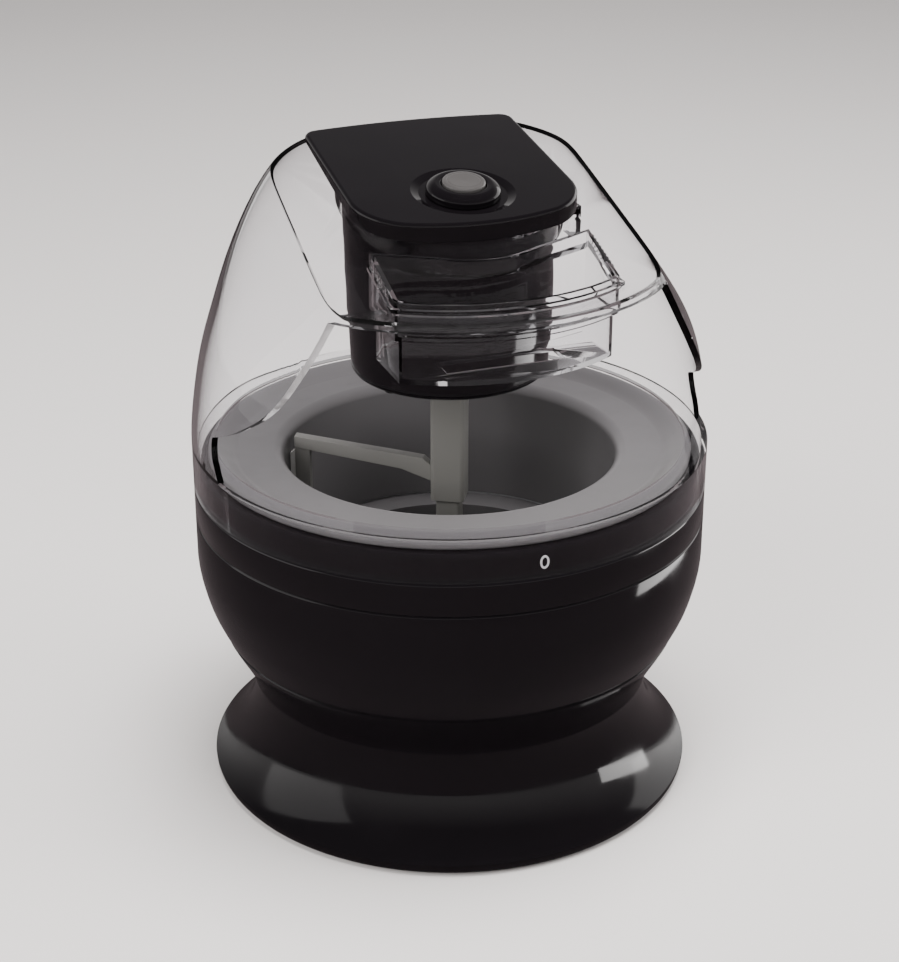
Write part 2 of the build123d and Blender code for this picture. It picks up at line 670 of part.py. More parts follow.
# ---------------------------------------------------------------- motor unit
MOTOR_X = 0.0
MOTOR_Y = 4.0
CENTRE_DISTANCE = GEAR_MODULE * (PINION_TEETH + WHEEL_TEETH) / 2
LAST_DISTANCE = GEAR_MODULE * (LAST_PINION_TEETH + OUTPUT_TEETH) / 2
SECOND_X = 0.0
SECOND_Y = LAST_DISTANCE
HALF_SPAN = (SECOND_Y - MOTOR_Y) / 2
FIRST_X = -math.sqrt(CENTRE_DISTANCE ** 2 - HALF_SPAN ** 2)
FIRST_Y = MOTOR_Y + HALF_SPAN
PLATE_R_GEAR = MOTOR_LOW_R - MOTOR_WALL - 0.6
LOW_PLATE_Z = MOTOR_NOSE_Z + 8.8
GEAR_LEVELS = [LOW_PLATE_Z + rise for rise in (4.0, 11.0, 17.5)]
GEAR_FACE = 5.5
HIGH_PLATE_Z = LOW_PLATE_Z + 25.5
PLATE_THICK = 2.0
STACK_Z = HIGH_PLATE_Z + 9.0
STACK_H = 18.0
STACK_HALF_W = 26.0
STACK_LOW_Y = -32.0
STACK_HIGH_Y = 22.0
ROTOR_R = 13.0
AIR_GAP = 0.5
BRIDGE_Z = STACK_Z + STACK_H + 3.5
MOTOR_SHAFT_R = 2.5
PIN_R = 1.5
OUTPUT_R = 5.0
STACK_SCREW_X = 21.0


def motor_body():
    """Black can of the motor unit with a domed nose and a hole for the output shaft."""
    top = COVER_EDGE_Z + 20
    w = MOTOR_WALL
    can = turned(
        Line(at(0, MOTOR_NOSE_Z), at(18, MOTOR_NOSE_Z)),
        Spline(
            at(18, MOTOR_NOSE_Z), at(MOTOR_LOW_R - 5, MOTOR_NOSE_Z + 1.8), at(MOTOR_LOW_R, MOTOR_LOW_Z),
            tangents=[(1, 0, 0), (0.05, 0, 1)],
        ),
        Line(at(MOTOR_LOW_R, MOTOR_LOW_Z), at(MOTOR_R, COVER_EDGE_Z - 12)),
        Line(at(MOTOR_R, COVER_EDGE_Z - 12), at(MOTOR_R, top)),
        Line(at(MOTOR_R, top), at(MOTOR_R - w, top)),
        Line(at(MOTOR_R - w, top), at(MOTOR_R - w, COVER_EDGE_Z - 12)),
        Line(at(MOTOR_R - w, COVER_EDGE_Z - 12), at(MOTOR_LOW_R - w, MOTOR_LOW_Z + 1)),
        Line(at(MOTOR_LOW_R - w, MOTOR_LOW_Z + 1), at(MOTOR_LOW_R - w - 6, MOTOR_NOSE_Z + w + 1.2)),
        Line(at(MOTOR_LOW_R - w - 6, MOTOR_NOSE_Z + w + 1.2), at(0, MOTOR_NOSE_Z + w)),
        Line(at(0, MOTOR_NOSE_Z + w), at(0, MOTOR_NOSE_Z)),
    )
    can -= above_plane(COVER_EDGE_Z, COVER_EDGE_SLOPE)
    can -= rod(0, 0, MOTOR_NOSE_Z - 1, MOTOR_NOSE_Z + 6, OUTPUT_R + 3)
    for x, y in PLATE_POSTS:
        foot = rod(x, y, MOTOR_NOSE_Z + 1.5, LOW_PLATE_Z, 3.2)
        can += foot
        can -= rod(x, y, MOTOR_NOSE_Z + 4, LOW_PLATE_Z + 1, 1.3)
    gland_axis = Plane(origin=(0, MOTOR_R - 6, GLAND_Z), z_dir=(0, 1, 0))
    return can - extrude(gland_axis * Circle(GLAND_R - 1.2), 12)


PLATE_POSTS = [(-33.0, -18.0), (33.0, -18.0), (24.0, 29.0)]


def cover_outline(grow):
    """Plan of the cover: bowed back, straight sides, rounded front corners."""
    half = COVER_HALF_W + grow
    back = COVER_BACK_Y + grow
    front = COVER_FRONT_Y - grow
    corner_x = COVER_HALF_W - COVER_CORNER
    corner_y = front + 5.5
    bend_y = COVER_FRONT_Y + COVER_BEND
    face = make_face(
        Curve() + [
            ThreePointArc((-half + 1.5, back), (0, back + 3.0), (half - 1.5, back)),
            Line((half - 1.5, back), (half, bend_y)),
            ThreePointArc((half, bend_y), (half - 5.0, corner_y + 9.5), (corner_x, corner_y)),
            ThreePointArc((corner_x, corner_y), (0, front), (-corner_x, corner_y)),
            ThreePointArc((-corner_x, corner_y), (-half + 5.0, corner_y + 9.5), (-half, bend_y)),
            Line((-half, bend_y), (-half + 1.5, back)),
        ]
    )
    back_corners = face.vertices().sort_by(Axis.Y)[-2:]
    return fillet(back_corners, 6.0 + grow)


def button_frame():
    """Plane of the cover's top at the button, its normal pointing out of the cover."""
    height = COVER_Z + COVER_SLOPE * BUTTON_Y
    return Plane(origin=(0, BUTTON_Y, height), x_dir=(1, 0, 0), z_dir=(0, -COVER_SLOPE, 1))


def motor_cover():
    """Sloping black cover with a rolled edge, hollow underside and a dish for the button."""
    low = COVER_Z - 33.5
    outer = Pos(0, 0, low) * extrude(cover_outline(0), 80)
    outer -= above_plane(COVER_Z, COVER_SLOPE)
    rim = [e for e in outer.edges() if (e @ 0.5).Z > COVER_Z + COVER_SLOPE * (e @ 0.5).Y - 1.0]
    outer = fillet(rim, 1.6)
    outer &= above_plane(COVER_EDGE_Z, COVER_EDGE_SLOPE)
    inner = Pos(0, 0, low) * extrude(cover_outline(-COVER_WALL), 80)
    inner -= above_plane(COVER_Z - COVER_WALL * 1.02, COVER_SLOPE)
    frame = button_frame()
    seat = extrude(frame * Circle(DISH_R + 2), -2.6 - COVER_WALL / 2)
    spigot = tube(0, 0, low, COVER_Z + 20, MOTOR_R - MOTOR_WALL - 0.1, MOTOR_R - MOTOR_WALL - 2.0)
    spigot &= above_plane(COVER_EDGE_Z - 4, COVER_EDGE_SLOPE)
    spigot -= above_plane(COVER_Z - COVER_WALL / 2, COVER_SLOPE)
    spigot -= block(-GLAND_R - 3, GLAND_R + 3, 20, MOTOR_R, low, GLAND_Z + GLAND_R + 2)
    cover = outer - inner + seat + spigot
    dish = loft([frame * Circle(DISH_R), frame.offset(-1.4) * Circle(DISH_R - 3.5)])
    cover -= dish
    cover -= extrude(frame.offset(3) * Circle(BUTTON_R + 2.0), -12)
    for x, y in COVER_BOSSES:
        cover += rod(x, y, COVER_Z - 17.5, COVER_Z + COVER_SLOPE * y - 1.5, 3.4)
        cover -= rod(x, y, COVER_Z - 19.5, COVER_Z + COVER_SLOPE * y - 5, 1.3)
    return cover


COVER_BOSSES = [(-30.0, 18.0), (30.0, 18.0)]


def bezel():
    """Raised gloss ring round the button, with a rounded crown."""
    frame = button_frame()
    profile = make_face(
        Curve() + [
            Polyline(
                (BUTTON_R + 0.4, -3.6), (BEZEL_R - 5.0, -3.6), (BEZEL_R - 5.0, -1.35),
                (BEZEL_R, -1.35), (BEZEL_R, 1.2),
            ),
            ThreePointArc((BEZEL_R, 1.2), (BEZEL_R - 1.6, 3.4), (BEZEL_R - 4.0, 3.8)),
            Polyline((BEZEL_R - 4.0, 3.8), (BUTTON_R + 0.9, 3.4), (BUTTON_R + 0.4, 2.9), (BUTTON_R + 0.4, -3.6)),
        ]
    )
    ring = revolve(Plane.XZ * profile, Axis.Z)
    return frame.location * ring


def button():
    """Grey push button with a crowned face and a stem down to the switch."""
    frame = button_frame()
    crown = make_face(
        Curve() + [
            Polyline((0, -6.0), (BUTTON_R, -6.0), (BUTTON_R, 3.8)),
            ThreePointArc((BUTTON_R, 3.8), (BUTTON_R - 0.8, 5.0), (BUTTON_R - 2.4, 5.3)),
            Line((BUTTON_R - 2.4, 5.3), (0, 5.0)),
            Line((0, 5.0), (0, -6.0)),
        ]
    )
    head = revolve(Plane.XZ * crown, Axis.Z)
    stem = Pos(0, 0, -7.5) * Cylinder(2.0, 3.0)
    return frame.location * (head + stem)


SWITCH_TOP = -9.0 - BUTTON_TRAVEL - 0.3
SWITCH_H = 7.0


def switch():
    """Sealed push switch with two blade terminals."""
    frame = button_frame()
    top = SWITCH_TOP
    whole = Pos(0, 0, top - SWITCH_H / 2) * Box(20, 13, SWITCH_H)
    for x in (-6, 6):
        whole += Pos(x, 8.5, top - 4.0) * Box(3.2, 5, 0.8)
    whole -= Pos(0, 0, top) * Cylinder(2.6, 2 * BUTTON_TRAVEL)
    return frame.location * whole


def switch_brackets():
    """Two brackets that hang the switch from the cover's seat."""
    frame = button_frame()
    top = -2.6 - COVER_WALL / 2
    low = SWITCH_TOP - SWITCH_H + 1.0
    brackets = []
    for side in (-1, 1):
        arm = Pos(side * 11.4, 0, (top + low) / 2) * Box(2.4, 9, top - low)
        toe = Pos(side * 13.0, 0, top - 0.8) * Box(5.6, 9, 1.6)
        brackets.append(frame.location * (arm + toe))
    return group(brackets)


def tooth_flank(teeth):
    """Involute flank points of one tooth, from root to tip, as (radius, half angle)."""
    pitch = GEAR_MODULE * teeth / 2
    base = pitch * math.cos(math.radians(20))
    tip = pitch + GEAR_MODULE * 0.95
    half = (math.pi * GEAR_MODULE / 2 - BACKLASH) / (2 * pitch)
    at_pitch = math.tan(math.radians(20)) - math.radians(20)
    flank = []
    low = max(base, pitch - GEAR_MODULE * 1.0)
    for step in range(5):
        radius = low + (tip - low) * step / 4
        press = math.acos(min(1.0, base / radius))
        flank.append((radius, half + at_pitch - (math.tan(press) - press)))
    return flank


def gear(teeth, face, bore, phase_deg):
    """Spur gear with involute teeth, one tooth centred on phase_deg."""
    flank = tooth_flank(teeth)
    root = GEAR_MODULE * teeth / 2 - GEAR_MODULE * 1.25
    edges = []
    step = 2 * math.pi / teeth

    def place(radius, angle):
        return (radius * math.cos(angle), radius * math.sin(angle))

    for i in range(teeth):
        middle = math.radians(phase_deg) + i * step
        foot = flank[0][1]
        right = [place(r, middle - a) for r, a in flank]
        left = [place(r, middle + a) for r, a in reversed(flank)]
        edges.append(Line(place(root, middle - foot), right[0]))
        edges.append(Spline(*right))
        edges.append(Line(right[-1], left[0]))
        edges.append(Spline(*left))
        edges.append(Line(left[-1], place(root, middle + foot)))
        edges.append(Line(place(root, middle + foot), place(root, middle + step - foot)))
    wheel = extrude(make_face(Curve() + edges), face)
    return wheel - Pos(0, 0, face / 2) * Cylinder(bore, face + 1)


def meshed(teeth_a, phase_a, ax, ay, teeth_b, bx, by):
    """Phase of gear b that puts a gap where gear a has a tooth."""
    way = math.degrees(math.atan2(by - ay, bx - ax))
    turn = (way - phase_a) * teeth_a / 360
    return way + 180 - (0.5 - turn) * 360 / teeth_b


def compound_gear(x, y, wheel_z, wheel_phase, pinion_teeth, pinion_z):
    """Large wheel and small pinion on one hub, running on a fixed pin."""
    bore = PIN_R + RUNNING
    wheel = Pos(x, y, wheel_z) * gear(WHEEL_TEETH, GEAR_FACE, bore, wheel_phase)
    pinion = Pos(x, y, pinion_z) * gear(pinion_teeth, wheel_z - pinion_z, bore, 0)
    web = tube(x, y, wheel_z - 1, wheel_z + GEAR_FACE - 1.5, 13.4, 5.6)
    return (wheel - web) + pinion + tube(x, y, wheel_z, wheel_z + GEAR_FACE, 5.7, bore) \
        + tube(x, y, wheel_z + GEAR_FACE - 2.0, wheel_z + GEAR_FACE, 13.6, bore)


def gear_train():
    """Rotor pinion, two compound gears and the output gear, in mesh at rest."""
    level_out, level_mid, level_top = GEAR_LEVELS
    pinion = gear(PINION_TEETH, GEAR_FACE, MOTOR_SHAFT_R - 0.4, 0)
    node("rotor_pinion", Pos(MOTOR_X, MOTOR_Y, level_top) * pinion)
    first_phase = meshed(PINION_TEETH, 0, MOTOR_X, MOTOR_Y, WHEEL_TEETH, FIRST_X, FIRST_Y)
    first = compound_gear(FIRST_X, FIRST_Y, level_top, first_phase, PINION_TEETH, level_mid)
    node("first_gear", first)
    second_phase = meshed(PINION_TEETH, 0, FIRST_X, FIRST_Y, WHEEL_TEETH, SECOND_X, SECOND_Y)
    second = compound_gear(SECOND_X, SECOND_Y, level_mid, second_phase, LAST_PINION_TEETH, level_out)
    node("second_gear", second)
    out_phase = meshed(LAST_PINION_TEETH, 0, SECOND_X, SECOND_Y, OUTPUT_TEETH, 0, 0)
    node("output_gear", Pos(0, 0, level_out) * gear(OUTPUT_TEETH, GEAR_FACE, OUTPUT_R, out_phase))


def output_shaft():
    """Steel shaft: round in its bush and square where it drives the paddle."""
    top = GEAR_LEVELS[0] + GEAR_FACE + 1.0
    shaft = rod(0, 0, MOTOR_NOSE_Z - 1.0, top, OUTPUT_R)
    low = POST_TOP_Z - SOCKET_DEPTH + 2.0
    square = block(-SQUARE_W / 2, SQUARE_W / 2, -SQUARE_W / 2, SQUARE_W / 2, low, MOTOR_NOSE_Z - 1.0)
    turned_square = square & rod(0, 0, low, MOTOR_NOSE_Z, SQUARE_W * 0.62)
    return Rot(0, 0, PADDLE_ANGLE) * turned_square + shaft


def gear_plate(z_low, holes):
    """Round steel plate that holds bushes and gear pins."""
    plate = rod(0, 0, z_low, z_low + PLATE_THICK, PLATE_R_GEAR)
    for x, y, radius in holes:
        plate -= rod(x, y, z_low - 1, z_low + PLATE_THICK + 1, radius)
    return plate


def bush(x, y, z_low, z_high, bore, outer, flange_r):
    """Flanged plain bush."""
    sleeve = tube(x, y, z_low, z_high, outer, bore)
    return sleeve + tube(x, y, z_low, z_low + 1.2, flange_r, bore)


def lamination_stack():
    """C-shaped steel stack with a rotor bore, a coil window and two screw holes."""
    top = STACK_Z + STACK_H
    stack = block(-STACK_HALF_W, STACK_HALF_W, STACK_LOW_Y, STACK_HIGH_Y, STACK_Z, top)
    stack -= rod(MOTOR_X, MOTOR_Y, STACK_Z - 1, top + 1, ROTOR_R + AIR_GAP)
    stack -= block(-17, 17, STACK_LOW_Y + 9, MOTOR_Y - ROTOR_R - 3.2, STACK_Z - 1, top + 1)
    for x in (-STACK_SCREW_X, STACK_SCREW_X):
        stack -= rod(x, MOTOR_Y, STACK_Z - 1, top + 1, 2.2)
    return stack


def field_coil():
    """Copper coil wound round the leg of the stack."""
    top = STACK_Z + STACK_H
    body = block(-14, 14, STACK_LOW_Y - 7.5, STACK_LOW_Y + 18, STACK_Z - 5.5, top + 5.5)
    body = fillet(body.edges().filter_by(Axis.X), 4.0)
    return body - block(-15, 15, STACK_LOW_Y - 0.3, STACK_LOW_Y + 9.3, STACK_Z - 0.3, top + 0.3)


def upper_bridge():
    """Strap over the stack that holds the rotor's upper bush."""
    bar = block(-STACK_SCREW_X - 5, STACK_SCREW_X + 5, MOTOR_Y - 7, MOTOR_Y + 7, BRIDGE_Z, BRIDGE_Z + 2)
    for x in (-STACK_SCREW_X, STACK_SCREW_X):
        bar += rod(x, MOTOR_Y, STACK_Z + STACK_H, BRIDGE_Z + 0.5, 4.0)
        bar -= rod(x, MOTOR_Y, STACK_Z, BRIDGE_Z + 3, 2.2)
    return bar - rod(MOTOR_X, MOTOR_Y, BRIDGE_Z - 1, BRIDGE_Z + 3, 4.5)


def cord_gland():
    """Rubber gland in the back of the can, with a bore for the mains cord."""
    axis = Plane(origin=(0, MOTOR_R - 5.5, GLAND_Z), z_dir=(0, 1, 0))
    inner_flange = extrude(axis * Circle(GLAND_R + 0.8), 2.0)
    neck = extrude(axis * Circle(GLAND_R - 1.2), GLAND_END_Y - MOTOR_R + 5.5)
    boot_start = Plane(origin=(0, MOTOR_R + 0.6, GLAND_Z), z_dir=(0, 1, 0))
    boot = extrude(boot_start * Circle(GLAND_R), GLAND_END_Y - MOTOR_R - 0.6)
    boot = chamfer(boot.edges().sort_by(Axis.Y)[-1], 0.9)
    return inner_flange + neck + boot - extrude(axis * Circle(CORD_R), 60)


def make_motor_unit():
    """All the pieces of the motor unit and its drive."""
    node("motor_body", motor_body())
    node("motor_cover", motor_cover())
    node("button_bezel", bezel())
    node("power_button", button())
    node("power_switch", switch())
    node("switch_brackets", switch_brackets())
    node("cord_gland", cord_gland())
    gear_train()
    node("output_shaft", output_shaft())
    pins = [(FIRST_X, FIRST_Y), (SECOND_X, SECOND_Y)]
    pin_holes = [(x, y, PIN_R) for x, y in pins]
    posts = [(x, y, 1.6) for x, y in PLATE_POSTS]
    node("lower_gear_plate", gear_plate(LOW_PLATE_Z, pin_holes + posts + [(0, 0, OUTPUT_R + 2.5)]))
    stack_holes = [(x, MOTOR_Y, 2.2) for x in (-STACK_SCREW_X, STACK_SCREW_X)]
    upper_holes = pin_holes + stack_holes + [(MOTOR_X, MOTOR_Y, 4.5)]
    node("upper_gear_plate", gear_plate(HIGH_PLATE_Z, upper_holes))
    top = HIGH_PLATE_Z + PLATE_THICK
    node("gear_pins", group(rod(x, y, LOW_PLATE_Z, top, PIN_R) for x, y in pins))
    spacer_places = [(-38.0, -10.0), (38.0, -10.0), (31.0, 24.0)]
    low = LOW_PLATE_Z + PLATE_THICK
    node("plate_spacers", group(rod(x, y, low, HIGH_PLATE_Z, 2.5) for x, y in spacer_places))
    node("output_bush", bush(0, 0, LOW_PLATE_Z - 1.2, low + 1, OUTPUT_R + RUNNING, OUTPUT_R + 2.5, OUTPUT_R + 4))
    node("rotor_bushes", group([
        bush(MOTOR_X, MOTOR_Y, HIGH_PLATE_Z - 1.2, top + 1, MOTOR_SHAFT_R + RUNNING, 4.5, 6.0),
        bush(MOTOR_X, MOTOR_Y, BRIDGE_Z - 1.2, BRIDGE_Z + 3, MOTOR_SHAFT_R + RUNNING, 4.5, 6.0),
    ]))
    node("shaft_seal", tube(0, 0, MOTOR_NOSE_Z + 0.4, MOTOR_NOSE_Z + 3.4, OUTPUT_R + 3, OUTPUT_R + RUNNING))
    node("lamination_stack", lamination_stack())
    node("field_coil", field_coil())
    node("upper_bridge", upper_bridge())
    stack_screws = [
        rod(x, MOTOR_Y, top, BRIDGE_Z + 2, 2.0) + rod(x, MOTOR_Y, BRIDGE_Z + 2, BRIDGE_Z + 4.4, 3.6)
        + rod(x, MOTOR_Y, HIGH_PLATE_Z, top, 2.0)
        for x in (-STACK_SCREW_X, STACK_SCREW_X)
    ]
    node("motor_screws", group(stack_screws))
    spacers = [
        tube(x, MOTOR_Y, top, STACK_Z, 4.0, 2.2) for x in (-STACK_SCREW_X, STACK_SCREW_X)
    ]
    node("stack_spacers", group(spacers))
    plate_screws = [
        rod(x, y, MOTOR_NOSE_Z + 5, LOW_PLATE_Z + PLATE_THICK, 1.3)
        + rod(x, y, LOW_PLATE_Z + PLATE_THICK, LOW_PLATE_Z + PLATE_THICK + 1.8, 2.8)
        for x, y in PLATE_POSTS
    ]
    node("gearbox_screws", group(plate_screws))
    rotor = rod(MOTOR_X, MOTOR_Y, STACK_Z, STACK_Z + STACK_H, ROTOR_R)
    rotor += tube(MOTOR_X, MOTOR_Y, STACK_Z - 2.5, STACK_Z, ROTOR_R - 0.8, 6.5)
    rotor += tube(MOTOR_X, MOTOR_Y, STACK_Z + STACK_H, STACK_Z + STACK_H + 1.8, ROTOR_R - 0.8, 6.5)
    node("rotor_core", rotor - rod(MOTOR_X, MOTOR_Y, 0, 400, MOTOR_SHAFT_R))
    shaft = rod(MOTOR_X, MOTOR_Y, HIGH_PLATE_Z - 1.6, BRIDGE_Z + 4.5, MOTOR_SHAFT_R)
    shaft += rod(MOTOR_X, MOTOR_Y, GEAR_LEVELS[2] - 0.5, HIGH_PLATE_Z - 1.6, MOTOR_SHAFT_R - 0.4)
    node("rotor_shaft", shaft)


# ---------------------------------------------------------------- paddle
UPPER_BLADE_R = MOUTH_R - SCRAPE_GAP
LOWER_BLADE_R = CUP_R - SCRAPE_GAP
STRIP_W = 2.4
PADDLE_LOW_Z = CUP_FLOOR_Z + 0.6
SHOULDER_Z = UPPER_LOW_Z + 1.2
HUB_Z = COLLAR_TOP_Z - 13.5        # where the upper arm leaves the post
ARM_END_Z = COLLAR_TOP_Z
TOE_Z = CUP_FLOOR_Z + CUP_BEND + 3.0   # the blades turn in above the floor corner
LOW_ARM_Z = SPLIT_Z - 6.6


def slab(points, thickness):
    """Upright plate in the XZ plane, centred on it, from a closed polygon of (x, z) points."""
    return extrude(make_face(Plane.XZ * Polyline(*points, close=True)), thickness / 2, both=True)


def upper_wing():
    """Arm and wall blade that reach out over the mouth of the canister."""
    blade_in = UPPER_BLADE_R - STRIP_W - 7.0
    outer = UPPER_BLADE_R - STRIP_W
    low_in = LOWER_BLADE_R - STRIP_W - 7.0
    low_out = LOWER_BLADE_R - STRIP_W
    arm = slab([(4, HUB_Z), (12, HUB_Z + 7), (outer, ARM_END_Z), (outer, ARM_END_Z - 5.5),
                (22, HUB_Z + 1), (4, HUB_Z - 5.5)], 5.0)
    blade = slab([(blade_in, ARM_END_Z - 3), (outer, ARM_END_Z - 1), (outer, SHOULDER_Z),
                  (blade_in, SHOULDER_Z)], BLADE_T)
    bend = slab(
        [(low_in, SHOULDER_Z + 9), (outer, SHOULDER_Z + 9), (outer, SHOULDER_Z),
         (low_out, SHOULDER_Z), (low_in, SHOULDER_Z)], BLADE_T)
    lower = slab([(low_in, SHOULDER_Z + 4), (low_out, SHOULDER_Z + 4), (low_out, TOE_Z),
                  (low_out - 7, PADDLE_LOW_Z), (low_in - 7, PADDLE_LOW_Z), (low_in, TOE_Z)], BLADE_T)
    base = slab([(0, PADDLE_LOW_Z), (low_out - 6.5, PADDLE_LOW_Z), (low_out - 6.5, TOE_Z - 5),
                 (0, TOE_Z - 3)], BLADE_T)
    return arm + blade + bend + lower + base


def lower_wing():
    """Shorter wing on the other side, below the surface of the ice cream."""
    outer = -(LOWER_BLADE_R - STRIP_W)
    arm = slab([(0, LOW_ARM_Z), (outer, LOW_ARM_Z), (outer, LOW_ARM_Z - 6), (0, LOW_ARM_Z - 10)], BLADE_T)
    blade = slab([(outer, LOW_ARM_Z), (outer + 8, LOW_ARM_Z), (outer + 8, TOE_Z), (outer + 14, PADDLE_LOW_Z),
                  (outer + 7, PADDLE_LOW_Z), (outer, TOE_Z)], BLADE_T)
    foot = slab([(0, PADDLE_LOW_Z), (outer + 7, PADDLE_LOW_Z), (outer + 7, TOE_Z - 5), (0, TOE_Z - 3)], BLADE_T)
    return arm + blade + foot


def paddle():
    """Moulded paddle: square post with a drive socket, hub and two wings."""
    post = block(-POST_W / 2, POST_W / 2, -POST_W / 2, POST_W / 2, HUB_Z - 11.5, POST_TOP_Z)
    post = fillet(post.edges().filter_by(Axis.Z), 2.2)
    stem = block(-5.5, 5.5, -5.5, 5.5, PADDLE_LOW_Z, HUB_Z - 3.5)
    stem = fillet(stem.edges().filter_by(Axis.Z), 1.5)
    socket = SQUARE_W / 2 + SOCKET_GAP
    pocket = block(-socket, socket, -socket, socket, POST_TOP_Z - SOCKET_DEPTH, POST_TOP_Z + 1)
    whole = post + stem + upper_wing() + lower_wing() - pocket
    return Rot(0, 0, PADDLE_ANGLE) * whole


def scraper_strips():
    """Soft strips on the outer edges of the blades, which wipe the frozen wall."""
    upper = slab([(UPPER_BLADE_R - STRIP_W, ARM_END_Z - 7), (UPPER_BLADE_R, ARM_END_Z - 9),
                  (UPPER_BLADE_R, SHOULDER_Z), (UPPER_BLADE_R - STRIP_W, SHOULDER_Z)], BLADE_T - 1.0)
    lower = slab([(LOWER_BLADE_R - STRIP_W, SHOULDER_Z - 3), (LOWER_BLADE_R, SHOULDER_Z - 5),
                  (LOWER_BLADE_R, TOE_Z + 2), (LOWER_BLADE_R - STRIP_W, TOE_Z + 1)], BLADE_T - 1.0)
    other = slab([(-LOWER_BLADE_R + STRIP_W, LOW_ARM_Z), (-LOWER_BLADE_R, LOW_ARM_Z - 2),
                  (-LOWER_BLADE_R, TOE_Z + 2), (-LOWER_BLADE_R + STRIP_W, TOE_Z + 1)], BLADE_T - 1.0)
    return group(Rot(0, 0, PADDLE_ANGLE) * strip for strip in (upper, lower, other))


# ---------------------------------------------------------------- build
make_base()
make_canister()
node("lid", lid_shell())
node("ingredient_chute", chute())
make_motor_unit()
node("paddle", paddle())
node("scraper_strips", scraper_strips())

os.makedirs("parts", exist_ok=True)
for name, shape in NODES.items():
    export_step(shape, f"parts/{name}.step")
print(len(NODES), "nodes written")
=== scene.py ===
"""Looks of the gel-canister ice cream maker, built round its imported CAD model.

Each sub-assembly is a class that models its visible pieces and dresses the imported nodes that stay.
Sizes in the dataclasses are millimetres in the machine's own frame: +Z up, the round axis on Z,
the worktop at Z = 0 and the open front towards -Y. Meshes are in metres.
"""
import json
import logging
import math
from dataclasses import dataclass
from enum import Enum
from typing import Sequence

import bpy
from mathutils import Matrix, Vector

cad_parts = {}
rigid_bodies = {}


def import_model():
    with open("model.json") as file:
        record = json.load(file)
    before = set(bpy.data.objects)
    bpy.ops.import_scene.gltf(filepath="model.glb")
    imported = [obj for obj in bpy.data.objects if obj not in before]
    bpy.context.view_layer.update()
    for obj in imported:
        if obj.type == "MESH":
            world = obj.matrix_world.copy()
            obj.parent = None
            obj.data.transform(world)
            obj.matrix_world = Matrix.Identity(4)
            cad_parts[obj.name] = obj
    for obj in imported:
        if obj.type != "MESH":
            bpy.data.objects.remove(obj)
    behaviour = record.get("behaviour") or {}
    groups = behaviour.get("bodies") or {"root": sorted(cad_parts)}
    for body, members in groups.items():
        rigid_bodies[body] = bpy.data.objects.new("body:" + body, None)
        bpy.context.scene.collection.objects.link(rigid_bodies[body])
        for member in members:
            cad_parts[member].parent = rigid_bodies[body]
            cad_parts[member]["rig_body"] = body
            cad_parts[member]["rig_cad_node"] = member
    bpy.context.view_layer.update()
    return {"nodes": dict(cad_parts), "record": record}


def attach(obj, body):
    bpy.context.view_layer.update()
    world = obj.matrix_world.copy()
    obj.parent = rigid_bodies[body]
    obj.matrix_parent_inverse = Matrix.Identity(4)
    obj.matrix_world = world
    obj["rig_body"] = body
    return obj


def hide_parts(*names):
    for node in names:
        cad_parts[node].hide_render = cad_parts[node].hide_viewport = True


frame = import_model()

log = logging.getLogger("ice_cream_maker")

MM = 0.001
MERGE = 0.000001
SPIN_STEPS = 160

Point = tuple[float, float]
Colour = tuple[float, float, float]
Socket = bpy.types.NodeSocket


# ---------------------------------------------------------------- finishes


